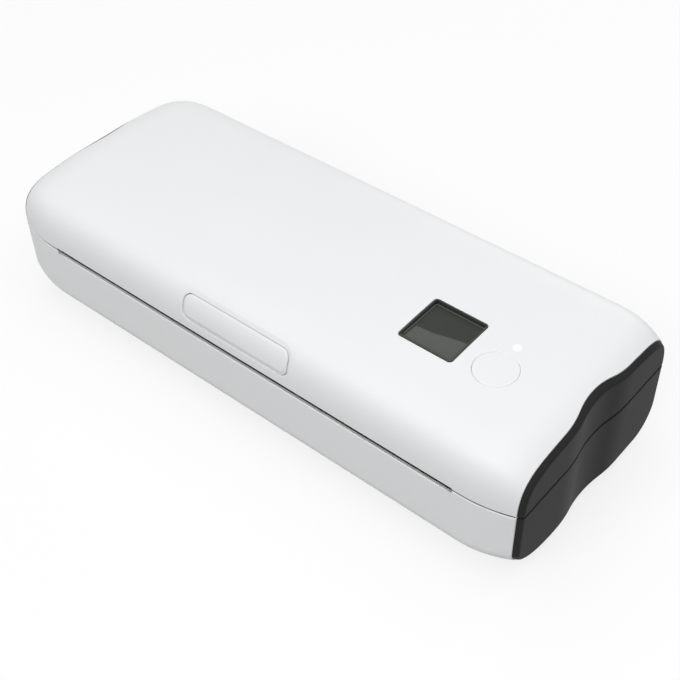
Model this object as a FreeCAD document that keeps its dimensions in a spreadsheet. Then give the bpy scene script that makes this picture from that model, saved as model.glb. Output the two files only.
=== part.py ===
import FreeCAD, Part
import math
import os
import re
import Sketcher

# A4 portable thermal printer: a white clamshell bar with dark end caps.
# Millimetres. +X runs along the bar, the paper slit faces -Y, +Z is up.
# The origin is the middle of the footprint, on the table.

doc = FreeCAD.newDocument("portable_printer")
sheet = doc.addObject("Spreadsheet::Sheet", "Sizes")
V = FreeCAD.Vector

# Sizes: a number drives the part, a text is a formula of other sizes.
SIZES = [
    ("body_length", 278.0, "overall length between the end faces"),
    ("body_depth", 112.5, "overall depth, front to rear"),
    ("body_height", 65.4, "height of the crown above the table"),
    ("foot_proud", 1.0, "how far the feet stand out of the base"),
    ("cover_height", 25.1, "height of the crown above the parting line"),
    ("parting_height", "body_height - cover_height", "height of the parting line between cover and base"),
    ("parting_gap", 0.4, "gap between cover and base"),
    ("wall", 2.2, "wall of the moulded shells"),
    ("fit_gap", 0.3, "clearance of a piece dropped into a shell"),
    ("overrun", 1.0, "how far a cutting tool runs past the face it cuts"),
    ("seat_gap", 0.05, "clearance of a piece that sits in its seat"),
    ("touch", 0.001, "distance within which an edge runs in a surface"),
    ("lip_round", 0.2, "rounding of the cover's lower edge, the caps and the seams"),
    ("rim_round", 0.45, "rounding of the base's upper edge"),
    ("mouth_round", 0.4, "rounding round the release button, the power button and the window"),
    # outer form
    ("crown_rise", 1.7, "rise of the top between its front and rear roundings"),
    ("front_reach", 17.9, "depth of the cover's front and rear roundings"),
    ("fullness_share", 0.71, "handle length of the cover's rounding, as a share"),
    ("belly_reach", 28.0, "depth of the base's lower front rounding"),
    ("belly_rise", 14.0, "height of the base's lower front rounding"),
    ("heel_reach", 14.0, "depth of the base's lower rear rounding"),
    ("heel_rise", 15.0, "height of the base's lower rear rounding"),
    ("end_taper", 25.1, "length over which the plan draws in"),
    ("straight_half", "body_length / 2 - end_taper", "half length of the straight front"),
    ("corner_radius", 63.0, "radius by which the plan draws in at the ends"),
    ("end_fall", 18.0, "length over which the top falls"),
    ("fall_start", "body_length / 2 - end_fall", "distance from the middle where the top starts to fall"),
    ("fall_radius", 31.0, "radius of the falling top"),
    ("lift_radius", 99.0, "radius by which the bottom lifts at the ends"),
    # end caps
    ("cap_inset", 2.3, "thickness of an end cap at its shoulders"),
    ("cap_waist", 2.2, "depth of the waist in an end face"),
    ("seam_waist", 2.9, "depth of the waist where cap and shell meet"),
    ("waist_half", 22.5, "half width of the waist"),
    ("cap_edge", 1.8, "rounding of an end cap's edge"),
    # paper slit
    ("end_room", 28.0, "length of the bar beyond each end of the slit"),
    ("slit_half", "body_length / 2 - end_room", "half length of the paper slit"),
    ("slit_lift", 0.45, "how far the cover's lip is raised over the slit"),
    ("slit_drop", 1.5, "how far the base's front edge is lowered along the slit"),
    ("tooth_pitch", 1.0, "pitch of the tear teeth"),
    ("tooth_depth", 0.6, "depth of the tear teeth"),
    ("tear_depth", 1.15, "depth of the tear bar"),
    ("tear_tall", 2.2, "height of the tear bar, teeth included"),
    ("tear_skin", 0.5, "front edge of the base left before the tear bar"),
    # window
    ("window_side", 25.8, "side of the square window"),
    ("window_inset", 66.6, "middle of the window in from the end"),
    ("window_x", "body_length / 2 - window_inset", "middle of the window from the middle of the bar"),
    ("window_y", -10.6, "middle of the window from mid depth"),
    ("window_corner", 1.6, "corner radius of the window"),
    ("window_sink", 2.4, "how far the lens lies under the top"),
    ("lens_thick", 1.5, "thickness of the lens"),
    ("lens_rim", 1.5, "how far the lens reaches under the bezel"),
    ("bezel_wall", 0.8, "wall of the window bezel"),
    ("bezel_flange", 3.0, "width of the bezel's flange under the top"),
    ("bezel_gap", 0.1, "clearance round the bezel"),
    # power button and lamp
    ("button_radius", 9.0, "radius of the power button"),
    ("button_inset", 38.4, "middle of the power button in from the end"),
    ("button_x", "body_length / 2 - button_inset", "middle of the power button from the middle of the bar"),
    ("button_y", -15.6, "middle of the power button from mid depth"),
    ("button_gap", 0.2, "clearance round the power button"),
    ("button_travel", 0.5, "travel of the power button"),
    ("stem_radius", 2.0, "radius of the power button's stem"),
    ("lamp_radius", 2.0, "radius of the status lamp"),
    ("lamp_aside", 0.1, "middle of the lamp beside that of the button"),
    ("lamp_x", "button_x + lamp_aside", "middle of the lamp from the middle of the bar"),
    ("lamp_behind", 14.2, "middle of the lamp behind that of the button"),
    ("lamp_y", "button_y + lamp_behind", "middle of the lamp from mid depth"),
    ("switch_side", 6.0, "side of the tact switch"),
    ("switch_height", 3.5, "height of the tact switch"),
    ("flange_wide", 1.2, "width of the flange that keeps a button in its hole"),
    ("flange_thick", 1.0, "thickness of that flange"),
    ("flange_drop", 1.1, "how far that flange lies under the cover's wall"),
    ("stem_long", 2.0, "length of the power button's stem"),
    ("lamp_chip", 1.0, "height and half width of the lamp's chip"),
    ("key_board_x", 12.0, "half length of the key board"),
    ("key_board_ahead", 7.4, "key board's reach in front of the button's middle"),
    ("key_board_front", "button_y - key_board_ahead", "front edge of the key board from mid depth"),
    ("key_board_behind", 5.4, "key board's reach behind the lamp's middle"),
    ("key_board_rear", "lamp_y + key_board_behind", "rear edge of the key board from mid depth"),
    ("key_boss_x", 8.0, "screw bosses of the key board from its middle"),
    ("key_boss_behind", 1.9, "key board's screws behind the lamp's middle"),
    ("key_boss_y", "lamp_y + key_boss_behind", "screw bosses of the key board from mid depth"),
    ("board_thick", 1.6, "thickness of the circuit boards"),
    ("board_corner", 1.5, "corner radius of the circuit boards"),
    # release button
    ("pad_half", 29.0, "half length of the release button"),
    ("pad_low", 6.5, "lower edge of the release button above the parting line"),
    ("pad_high", 18.0, "upper edge of the release button above the parting line"),
    ("pad_corner", 4.0, "corner radius of the release button"),
    ("pad_gap", 0.3, "clearance round the release button"),
    ("pad_tilt", 19.0, "upward tilt of the release button's face, in degrees"),
    ("pad_travel", 1.8, "travel of the release button"),
    ("arm_inset", 10.0, "arms in from the release button's ends"),
    ("arm_x", "pad_half - arm_inset", "arms of the release button from the middle"),
    # hinge
    ("hinge_inset", 3.2, "hinge axis in from the rear face"),
    ("bead_radius", 2.7, "radius of the hinge bead and knuckles"),
    ("hinge_pin_radius", 1.2, "radius of a hinge pin"),
    ("hinge_pin_long", 22.0, "length of a hinge pin"),
    ("knuckle_inset", 44.0, "middle of a knuckle in from the end"),
    ("knuckle_x", "body_length / 2 - knuckle_inset", "middle of a knuckle from the middle of the bar"),
    ("knuckle_wide", 6.0, "width of a knuckle"),
    ("knuckle_gap", 0.3, "side clearance of a knuckle"),
    ("ledge_inset", 5.5, "ends of the rear ledge in from the end faces"),
    ("ledge_half", "body_length / 2 - ledge_inset", "half length of the base's rear ledge"),
    ("ledge_drop", 3.4, "depth of the base's rear ledge under the hinge axis"),
    # paper bay
    ("bay_inset", 0.5, "ends of the paper bay in from those of the slit"),
    ("bay_half", "slit_half - bay_inset", "half length of the paper bay"),
    ("bay_drop", 6.3, "axis of the paper bay under the parting line"),
    ("bay_z", "parting_height - bay_drop", "axis of the paper bay above the table"),
    ("bay_floor_gap", 5.8, "gap between the paper bay and the base's floor"),
    ("frame_wall", 2.0, "wall of the inner frame"),
    ("bay_radius", "bay_z - foot_proud - wall - frame_wall - bay_floor_gap", "radius of the paper bay"),
    ("bay_room", 13.25, "room between the paper bay and the rear face"),
    ("bay_y", "body_depth / 2 - bay_room - bay_radius", "axis of the paper bay from mid depth"),
    ("cheek_thick", 2.5, "thickness of the frame's side cheeks"),
    ("cheek_front_inset", 4.25, "front edge of the cheeks behind the front face"),
    ("cheek_front", "-(body_depth / 2 - cheek_front_inset)", "front edge of the cheeks from mid depth"),
    ("cheek_rear_inset", 6.25, "rear edge of the cheeks before the rear face"),
    ("cheek_rear", "body_depth / 2 - cheek_rear_inset", "rear edge of the cheeks from mid depth"),
    ("cheek_drop", 1.0, "how far the cheeks stay under the parting line"),
    ("notch_gap", 0.6, "clearance of the platen shaft in its notch"),
    ("roll_gap", 1.0, "clearance of the cover's ribs round the paper roll"),
    ("deck_behind", 9.0, "front edge of the paper deck behind the platen's axis"),
    ("deck_front", "platen_y + deck_behind", "front edge of the paper deck"),
    ("deck_drop", 2.8, "top of the paper deck under the parting line"),
    ("deck_top", "parting_height - deck_drop", "top of the paper deck"),
    ("rib_thick", 1.6, "thickness of the ribs"),
    # platen
    ("platen_inset", 13.25, "platen axis behind the front face"),
    ("platen_y", "-(body_depth / 2 - platen_inset)", "platen axis from mid depth"),
    ("platen_lift", 6.6, "platen axis above the parting line"),
    ("platen_z", "parting_height + platen_lift", "platen axis above the table"),
    ("platen_radius", 6.3, "outer radius of the platen rubber"),
    ("roll_inset", 2.0, "ends of the platen and the head in from the slit's"),
    ("platen_half", "slit_half - roll_inset", "half length of the platen rubber"),
    ("shaft_radius", 3.0, "radius of the platen shaft"),
    ("bush_radius", 4.5, "outer radius of a platen bush"),
    ("running_gap", 0.05, "radial clearance of a shaft in its bush"),
    ("bracket_gap", 1.2, "gap between a cheek and a platen bracket"),
    ("bracket_inner", "bay_half + cheek_thick + bracket_gap", "inner face of a platen bracket"),
    ("bracket_thick", 1.5, "thickness of a platen bracket"),
    ("bracket_wide", 12.0, "width of a platen bracket"),
    # print head
    ("head_ahead", 8.0, "print head's reach in front of the platen's axis"),
    ("head_front", "platen_y - head_ahead", "front of the print head from mid depth"),
    ("head_behind", 7.0, "print head's reach behind the platen's axis"),
    ("head_rear", "platen_y + head_behind", "rear of the print head from mid depth"),
    ("head_gap", 0.6, "gap between the ceramic and the platen"),
    ("head_top", "platen_z - platen_radius - head_gap", "top of the print head's ceramic"),
    ("ceramic_thick", 1.0, "thickness of the ceramic"),
    ("heat_sink_thick", 2.6, "thickness of the heat sink"),
    ("head_half", "slit_half - roll_inset", "half length of the print head"),
    ("driver_inset", 4.0, "ends of the driver cover in from the head's ends"),
    ("driver_wide", 2.0, "width of the driver cover"),
    ("heater_rise", 0.2, "height of the heater line on the ceramic"),
    ("pivot_behind", 5.6, "head's pivot rod behind the platen's axis"),
    ("pivot_y", "platen_y + pivot_behind", "axis of the head's pivot rod from mid depth"),
    ("pivot_drop", 8.4, "head's pivot rod under the ceramic's top"),
    ("pivot_z", "head_top - pivot_drop", "axis of the head's pivot rod above the table"),
    ("pivot_radius", 1.25, "radius of the head's pivot rod"),
    ("pivot_boss", 2.6, "radius of the boss round the pivot rod"),
    ("spring_radius", 2.5, "outer radius of a head spring"),
    ("spring_bore", 1.75, "inner radius of a head spring"),
    ("spring_ahead", 3.0, "head springs in front of the platen's axis"),
    ("spring_y", "platen_y - spring_ahead", "middle of the head springs from mid depth"),
    ("spring_inset", 27.0, "outer head springs in from the head's ends"),
    ("spring_x", "head_half - spring_inset", "outer head springs from the middle of the bar"),
    ("beam_drop", 12.0, "top of the spring beam under the ceramic's top"),
    ("beam_top", "head_top - beam_drop", "top of the beam under the head springs"),
    ("beam_thick", 2.5, "thickness of that beam"),
    ("beam_inset", 18.5, "left end of the spring beam in from the bay's"),
    ("beam_left", "-(bay_half - beam_inset)", "left end of that beam"),
    ("beam_behind", 13.0, "rear edge of that beam behind the platen's axis"),
    ("beam_rear", "platen_y + beam_behind", "rear edge of that beam from mid depth"),
    ("web_thick", 2.2, "thickness of the head bracket's web"),
    ("sensor_x", -40.0, "middle of the paper sensor from the middle of the bar"),
    ("sensor_behind", 7.0, "paper sensor behind the deck's front edge"),
    ("sensor_y", "deck_front + sensor_behind", "middle of the paper sensor from mid depth"),
    ("sensor_long", 10.0, "length of the paper sensor"),
    ("sensor_wide", 6.0, "width of the paper sensor"),
    ("sensor_deep", 4.0, "height of the paper sensor"),
    # gears
    ("gear_module", 0.6, "module of the paper feed gears"),
    ("platen_teeth", 22.0, "teeth of the platen gear"),
    ("idler_small_teeth", 18.0, "teeth of the reduction gear's small wheel"),
    ("idler_large_teeth", 40.0, "teeth of the reduction gear's large wheel"),
    ("pinion_teeth", 12.0, "teeth of the motor pinion"),
    ("gear_wide", 3.0, "width of a toothed wheel"),
    ("gear_space", 0.5, "side clearance between wheels"),
    ("gear_clear", 0.9, "gap between a bracket and the first row of gears"),
    ("gear_first", "bracket_inner + bracket_thick + gear_clear", "inner face of the first row of gears"),
    ("mesh_gap", 0.12, "extra centre distance of a pair of gears"),
    ("idler_angle", 20.0, "direction of the reduction gear from the platen, degrees"),
    ("motor_angle", 50.0, "direction of the motor from the reduction gear, degrees"),
    ("axle_radius", 2.0, "radius of the reduction gear's axle"),
    # motor
    ("motor_radius", 8.5, "radius of the stepper motor"),
    ("motor_long", 16.0, "length of the stepper motor"),
    ("motor_shaft", 1.0, "radius of the motor's shaft"),
    ("motor_hole", 4.0, "radius of the motor's spigot hole"),
    # power
    ("cell_radius", 9.2, "radius of a battery cell"),
    ("cell_long", 65.2, "length of a battery cell"),
    ("cell_ahead", 34.0, "battery cells in front of the bay's axis"),
    ("cell_y", "bay_y - cell_ahead", "axis of the battery cells from mid depth"),
    ("cell_inset", 22.5, "left end of the cells in from the bay's"),
    ("cell_left", "-(bay_half - cell_inset)", "left end of the battery cells"),
    ("cell_gap", 1.2, "gap between the battery cells"),
    ("cell_lift", 0.8, "how far the battery cells lie above the floor"),
    ("cradle_wide", 3.0, "width of the cradle beside the battery cells"),
    # main board
    ("board_left_inset", 40.5, "left edge of the board in from the bay's end"),
    ("board_left", "-(bay_half - board_left_inset)", "left edge of the main board"),
    ("board_right_inset", 10.5, "right edge of the board in from the bay's end"),
    ("board_right", "bay_half - board_right_inset", "right edge of the main board"),
    ("board_front_inset", 20.25, "front edge of the board before the rear face"),
    ("board_front", "body_depth / 2 - board_front_inset", "front edge of the main board from mid depth"),
    ("board_rear_inset", 3.45, "rear edge of the board before the rear face"),
    ("board_rear", "body_depth / 2 - board_rear_inset", "rear edge of the main board from mid depth"),
    ("board_lift", 8.8, "underside of the board above the base's floor"),
    ("board_low", "foot_proud + wall + board_lift", "underside of the main board above the table"),
    ("boss_radius", 3.0, "radius of a screw boss"),
    ("screw_radius", 1.25, "radius of the screws"),
    ("screw_head_radius", 2.4, "radius of the screw heads"),
    ("screw_head_thick", 1.4, "thickness of the screw heads"),
    ("screw_long", 5.0, "length of a screw under its head"),
    ("post_front_inset", 10.5, "front posts in from the bay's ends"),
    ("post_front_x", "bay_half - post_front_inset", "front posts under the inner frame from the middle"),
    ("post_ahead", 9.0, "front posts in front of the bay"),
    ("post_front_y", "bay_y - bay_radius - post_ahead", "front posts from mid depth"),
    ("post_rear_inset", 4.5, "rear posts in from the bay's ends"),
    ("post_rear_x", "bay_half - post_rear_inset", "rear posts under the inner frame from the middle"),
    ("post_rear_room", 8.25, "rear posts before the rear face"),
    ("post_rear_y", "body_depth / 2 - post_rear_room", "rear posts from mid depth"),
    ("tab_drop", 5.3, "top of the rear tabs under the parting line"),
    ("tab_top", "parting_height - tab_drop", "top of the tray's rear screw tabs"),
    ("chip_tall", 1.2, "height of the chips on the main board"),
    # charging socket
    ("usb_inset", 40.0, "middle of the charging socket in from the board's end"),
    ("usb_x", "board_right - usb_inset", "middle of the charging socket from the middle of the bar"),
    ("usb_wide", 9.0, "width of the charging socket"),
    ("usb_tall", 3.2, "height of the charging socket"),
    ("usb_long", 8.0, "length of the charging socket"),
    ("usb_corner", 1.4, "corner radius of the charging socket"),
    ("usb_wall", 0.3, "wall of the charging socket's shell"),
    ("usb_gap", 0.3, "clearance round the charging socket in the base"),
    # feet
    ("foot_radius", 7.0, "radius of a rubber foot"),
    ("foot_recess", 0.8, "depth of a foot's recess"),
    ("foot_inset", 35.0, "feet in from the end faces"),
    ("foot_x", "body_length / 2 - foot_inset", "feet from the middle of the bar"),
    ("foot_front_inset", 38.25, "front feet behind the front face"),
    ("foot_front", "-(body_depth / 2 - foot_front_inset)", "front feet from mid depth"),
    ("foot_rear_inset", 20.25, "rear feet before the rear face"),
    ("foot_rear", "body_depth / 2 - foot_rear_inset", "rear feet from mid depth"),
    # latch
    ("latch_bar_inset", 12.25, "middle of the latch bar behind the front face"),
    ("latch_bar_y", "-(body_depth / 2 - latch_bar_inset)", "middle of the latch bar from mid depth"),
    ("latch_bar_drop", 9.1, "middle of the latch bar under the crown"),
    ("latch_bar_z", "body_height - latch_bar_drop", "middle of the latch bar above the table"),
    ("latch_bar_side", 3.0, "side of the latch bar"),
    ("latch_inset", 12.5, "latch hooks in from the end faces"),
    ("latch_x", "body_length / 2 - latch_inset", "latch hooks from the middle of the bar"),
    ("latch_wide", 2.5, "width of a latch hook"),
    ("latch_dip", 8.8, "lower end of a hook under the parting line"),
    ("latch_low", "parting_height - latch_dip", "lower end of a latch hook above the table"),
    ("latch_nose", 2.2, "height of a hook's nose"),
    ("latch_nose_inset", 5.55, "tip of a hook's nose behind the front face"),
    ("latch_reach", "body_depth / 2 - latch_nose_inset", "how far forward a hook's nose reaches"),
    ("catch_inset", 4.85, "inner face of the catch behind the front face"),
    ("catch_reach", "body_depth / 2 - catch_inset", "inner face of the base's catch from mid depth"),
    ("catch_drop", 5.9, "underside of the catch under the parting line"),
    ("catch_low", "parting_height - catch_drop", "underside of the base's catch above the table"),
    ("catch_tall", 3.0, "height of the base's catch"),
    ("catch_half", 3.0, "half width of the base's catch"),
]

ALIASES = set()
for row, (alias, number, meaning) in enumerate(SIZES, start=1):
    sheet.set("A%d" % row, meaning)
    sheet.set("B%d" % row, "=" + number if isinstance(number, str) else str(number))
    sheet.setAlias("B%d" % row, alias)
    ALIASES.add(alias)
doc.recompute()


def size(alias):
    """Number in the sheet behind an alias."""
    return float(sheet.get(alias))


def bound(text):
    """Expression text with every alias pointed at the sheet."""
    return re.sub(r"[a-z_]{3,}", lambda m: "Sizes." + m.group() if m.group() in ALIASES else m.group(), text)


def bind(thing, **formulas):
    """Bind properties to sheet formulas; base_x, base_y and base_z move the thing."""
    for name, formula in formulas.items():
        path = name
        if name.startswith("base_"):
            path = "Placement.Base." + name[-1]
        thing.setExpression(path, bound(formula))


def box(name, x, y, z):
    """Box between two formulas along each axis."""
    made = doc.addObject("Part::Box", name)
    bind(made, Length="(%s) - (%s)" % (x[1], x[0]), Width="(%s) - (%s)" % (y[1], y[0]),
         Height="(%s) - (%s)" % (z[1], z[0]), base_x=x[0], base_y=y[0], base_z=z[0])
    return made


def slab(name, axis, first, second, span, corner):
    """Padded sketch of a rounded rectangle, square to Z or Y, between formulas each way."""
    body = doc.addObject("PartDesign::Body", name)
    sketch = body.newObject("Sketcher::SketchObject", name + "_sketch")
    unit = 1.0
    corners = [(unit, -unit), (unit, unit), (-unit, unit), (-unit, -unit)]
    ends = [V(x * 2, y * 3, 0) for x, y in corners]
    quarter = math.pi / 2
    for number, end in enumerate(ends):
        before = ends[number - 1]
        way = (end - before).normalize()
        sketch.addGeometry(Part.LineSegment(before + way * unit, end - way * unit))
    for number, (x, y) in enumerate(corners):
        centre = ends[number] - V(x, y, 0) * unit
        circle = Part.Circle(centre, V(0, 0, 1), unit)
        sketch.addGeometry(Part.ArcOfCircle(circle, (number - 1) * quarter, number * quarter))
    for number in range(4):
        sketch.addConstraint(Sketcher.Constraint("Tangent", number, 2, number + 4, 1))
        sketch.addConstraint(Sketcher.Constraint("Tangent", number + 4, 2, (number + 1) % 4, 1))
        level = "Vertical" if number % 2 else "Horizontal"
        sketch.addConstraint(Sketcher.Constraint(level, number))
    for number in (5, 6, 7):
        sketch.addConstraint(Sketcher.Constraint("Equal", 4, number))
    lengths = [
        ("Radius", (4,), corner),
        ("DistanceX", (-1, 1, 1, 1), "((%s) - (%s)) / 2" % (first[1], first[0])),
        ("DistanceX", (3, 1, -1, 1), "((%s) - (%s)) / 2" % (first[1], first[0])),
        ("DistanceY", (0, 1, -1, 1), "((%s) - (%s)) / 2" % (second[1], second[0])),
        ("DistanceY", (-1, 1, 2, 1), "((%s) - (%s)) / 2" % (second[1], second[0])),
    ]
    start = [unit, 2 * unit, 2 * unit, 3 * unit, 3 * unit]
    for (kind, places, formula), number in zip(lengths, start):
        made = sketch.addConstraint(Sketcher.Constraint(kind, *places, number))
        sketch.setExpression("Constraints[%d]" % made, bound(formula))
    middle = ["((%s) + (%s)) / 2" % (pair[0], pair[1]) for pair in (first, second)]
    if axis == "Z":
        bind(sketch, base_x=middle[0], base_y=middle[1], base_z=span[0])
    else:
        sketch.Placement.Rotation = FreeCAD.Rotation(V(1, 0, 0), 90)
        bind(sketch, base_x=middle[0], base_y=span[1], base_z=middle[1])
    pad = body.newObject("PartDesign::Pad", name + "_pad")
    pad.Profile = sketch
    bind(pad, Length="(%s) - (%s)" % (span[1], span[0]))
    return body


TURNS = {
    "X": FreeCAD.Rotation(V(0, 1, 0), 90),
    "Y": FreeCAD.Rotation(V(1, 0, 0), -90),
    "Z": FreeCAD.Rotation(),
}


def rod(name, axis, radius, span, centre):
    """Cylinder along an axis between two formulas; centre gives the other two places."""
    made = doc.addObject("Part::Cylinder", name)
    made.Placement.Rotation = TURNS[axis]
    places = {"X": (span[0], centre[0], centre[1]), "Y": (centre[0], span[0], centre[1]),
              "Z": (centre[0], centre[1], span[0])}[axis]
    bind(made, Radius=radius, Height="(%s) - (%s)" % (span[1], span[0]),
         base_x=places[0], base_y=places[1], base_z=places[2])
    return made


def fuse(name, *parts):
    made = doc.addObject("Part::MultiFuse", name)
    made.Shapes = list(parts)
    return made


def common(name, *parts):
    made = doc.addObject("Part::MultiCommon", name)
    made.Shapes = list(parts)
    return made


def cut(name, base, *tools):
    made = doc.addObject("Part::Cut", name)
    made.Base = base
    made.Tool = tools[0] if len(tools) == 1 else fuse(name + "_tools", *tools)
    return made


def group(name, *parts):
    """Several separate solids in one node."""
    made = doc.addObject("Part::Compound", name)
    made.Links = list(parts)
    return made


def feature(name, shape, placement=FreeCAD.Placement()):
    """Shape made with geometry functions, from sizes read from the sheet."""
    made = doc.addObject("Part::Feature", name)
    made.Shape = shape
    made.Placement = placement
    return made


def mirrored(name, source):
    """The same piece on the other side of the middle."""
    made = doc.addObject("Part::Mirroring", name)
    made.Source = source
    made.Normal = V(1, 0, 0)
    return made


PIECES = []


def piece(label, thing):
    """Name a finished sub-part."""
    thing.Label = label
    PIECES.append(thing)
    return thing


def line(a, b):
    return Part.makeLine(a, b)


def curve(*poles):
    made = Part.BezierCurve()
    made.setPoles(list(poles))
    return made.toShape()


def prism(edges, way):
    """Solid made by extruding a closed outline."""
    return Part.Face(Part.Wire(edges)).extrude(way)


# Outer form
# One closed outline across the bar, drawn in towards the ends, lofted along the bar.

ROUND_SHARE = 0.5523


def drawn_in(x, start, radius):
    """How far an arc that starts tangent at a distance has drawn in at x."""
    reach = max(abs(x) - start, 0)
    return radius - math.sqrt(radius ** 2 - reach ** 2)


def outline(x, inset):
    """Closed outline across the bar at x, inset by a wall."""
    half = size("body_depth") / 2 - inset - drawn_in(x, size("straight_half"), size("corner_radius"))
    fall = drawn_in(x, size("fall_start"), size("fall_radius"))
    low = size("foot_proud") + inset + drawn_in(x, size("straight_half"), size("lift_radius"))
    crown = size("body_height") - inset - fall
    shoulder = crown - size("crown_rise")
    split = size("parting_height")
    reach = size("front_reach") - inset / 2
    tilt = 2 * math.atan(size("crown_rise") / (half - reach))
    full = size("fullness_share")
    rise = shoulder - split

    def side(sign, round_reach, round_rise):
        """Upper rounding, wall and lower rounding of one side, from the top down."""
        top = V(x, sign * (half - reach), shoulder)
        handle = V(0, sign * math.cos(tilt), -math.sin(tilt)) * (reach * full)
        wall_top = V(x, sign * half, split)
        wall_low = V(x, sign * half, low + round_rise)
        floor = V(x, sign * (half - round_reach), low)
        upper = curve(top, top + handle, wall_top + V(0, 0, rise * full), wall_top)
        wall = line(wall_top, wall_low)
        lower = curve(wall_low, wall_low - V(0, 0, round_rise * ROUND_SHARE),
                      floor + V(0, sign * round_reach * ROUND_SHARE, 0), floor)
        return top, upper, wall, lower, floor

    rear = side(1, size("heel_reach") - inset / 2, size("heel_rise") - inset / 2)
    front = side(-1, size("belly_reach") - inset / 2, size("belly_rise") - inset / 2)
    peak = V(x, 0, crown)
    crown_edge = Part.Arc(front[0], peak, rear[0]).toShape()
    floor_edge = line(rear[4], front[4])
    return Part.Wire([crown_edge, rear[1], rear[2], rear[3], floor_edge,
                      front[3], front[2], front[1]])


# Stations of the end lofts, as shares of the way from the straight front to the end.
STATION_SHARES = (-0.36, -0.24, -0.12, 0.0, 0.12, 0.24, 0.36, 0.52, 0.68, 0.84, 0.97, 1.1)


def form(inset):
    """Whole outer form, inset by a wall, run a little past its ends."""
    start = size("straight_half")
    way = size("body_length") / 2 - start
    stations = [start + share * way for share in STATION_SHARES]
    ends = [Part.makeLoft([outline(sign * x, inset) for x in stations], True, False)
            for sign in (-1, 1)]
    middle = Part.Face(outline(-stations[0], inset)).extrude(V(2 * stations[0], 0, 0))
    return middle.fuse(ends).removeSplitter()


def waisted(half, waist):
    """Tall block whose two ends are drawn in at mid depth by tangent arcs."""
    width = size("waist_half")
    far = size("body_depth")
    radius = ((width / 2) ** 2 + (waist / 2) ** 2) / waist
    quarter = radius - math.sqrt(radius ** 2 - (width / 4) ** 2)
    top = size("body_height") + size("overrun")

    def end(sign):
        """Points and edges of one end, from front to rear."""
        def at(y, x):
            return V(sign * x, y, 0)
        shoulder = Part.Arc(at(-width, half), at(-width * 3 / 4, half - quarter),
                            at(-width / 2, half - waist / 2)).toShape()
        hollow = Part.Arc(at(-width / 2, half - waist / 2), at(0, half - waist),
                          at(width / 2, half - waist / 2)).toShape()
        other = Part.Arc(at(width / 2, half - waist / 2), at(width * 3 / 4, half - quarter),
                         at(width, half)).toShape()
        return [line(at(-far, half), at(-width, half)), shoulder, hollow, other,
                line(at(width, half), at(far, half))]

    near = line(V(-half, -far, 0), V(half, -far, 0))
    away = line(V(-half, far, 0), V(half, far, 0))
    return prism([near] + end(1) + [away] + end(-1)[::-1], V(0, 0, top))


# Places that several pieces share, as formulas of the sheet

REAR = "(body_depth / 2)"
FLOOR = "(foot_proud + wall)"
COVER_LOW = "(parting_height + parting_gap / 2)"
BASE_TOP = "(parting_height - parting_gap / 2)"
ABOVE = "(body_height + overrun)"
HINGE_Y = "(body_depth / 2 - hinge_inset)"
CEILING = "(body_height - wall)"
BIG = "(body_length)"
IDLER_REACH = "(gear_module * (platen_teeth + idler_small_teeth) / 2 + mesh_gap)"
IDLER_Y = "(platen_y + %s * sin(idler_angle))" % IDLER_REACH
IDLER_Z = "(platen_z - %s * cos(idler_angle))" % IDLER_REACH
MOTOR_REACH = "(gear_module * (idler_large_teeth + pinion_teeth) / 2 + mesh_gap)"
MOTOR_Y = "(%s + %s * sin(motor_angle))" % (IDLER_Y, MOTOR_REACH)
MOTOR_Z = "(%s - %s * cos(motor_angle))" % (IDLER_Z, MOTOR_REACH)
GEAR_SECOND = "(gear_first + gear_wide + gear_space)"
CHEEK_OUT = "(bay_half + cheek_thick)"
CELL_Z = "(foot_proud + wall + cell_lift + cell_radius)"


def spread(middle, half):
    """Two formulas either side of a middle."""
    return "%s - (%s)" % (middle, half), "%s + (%s)" % (middle, half)


def both(half):
    """Two formulas either side of zero."""
    return "-(%s)" % half, "(%s)" % half


def zone(name, low, high, x=None):
    """Block of the whole width and depth between two heights."""
    return box(name, x or both(BIG), both(BIG), (low, high))


# Forms that the shells and caps are cut from

half_length = size("body_length") / 2
seam_half = half_length - size("cap_inset")
end_block = waisted(half_length, size("cap_waist"))
body_shape = form(0).common(end_block)


def end_edges(shape):
    """Edges round the two end faces."""
    picked = []
    for edge in shape.Edges:
        beside = [face for face in shape.Faces if any(edge.isSame(other) for other in face.Edges)]
        upright = 0
        for face in beside:
            low_u, high_u, low_v, high_v = face.ParameterRange
            normal = face.normalAt((low_u + high_u) / 2, (low_v + high_v) / 2)
            flat = isinstance(face.Surface, (Part.Plane, Part.Cylinder))
            upright += flat and abs(normal.x) > abs(normal.y) and abs(normal.x) > abs(normal.z)
        if upright == 1:
            picked.append(edge)
    return picked


whole_form = feature("whole_form", body_shape.makeFillet(size("cap_edge"), end_edges(body_shape)))
seam_form = feature("seam_form", waisted(seam_half, size("seam_waist")))
hollow_block = waisted(seam_half - size("wall"), size("seam_waist"))
hollow_form = feature("hollow_form", form(size("wall")).common(hollow_block))
fitted_form = feature("fitted_form", form(size("wall") + size("fit_gap")).common(hollow_block))
seated_form = feature("seated_form", form(size("wall") + size("seat_gap")).common(hollow_block))
half_wall_form = feature("half_wall_form", form(size("wall") / 2).common(hollow_block))

# Places along an edge where it is compared with a surface
PROBE_SHARES = (0.1, 0.37, 0.5, 0.8)


def lies_in(edge, surface):
    """Whether an edge runs in a surface."""
    span = edge.LastParameter - edge.FirstParameter
    points = [edge.valueAt(edge.FirstParameter + span * share) for share in PROBE_SHARES]
    return all(surface.distToShape(Part.Vertex(point))[0] < size("touch") for point in points)


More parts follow.
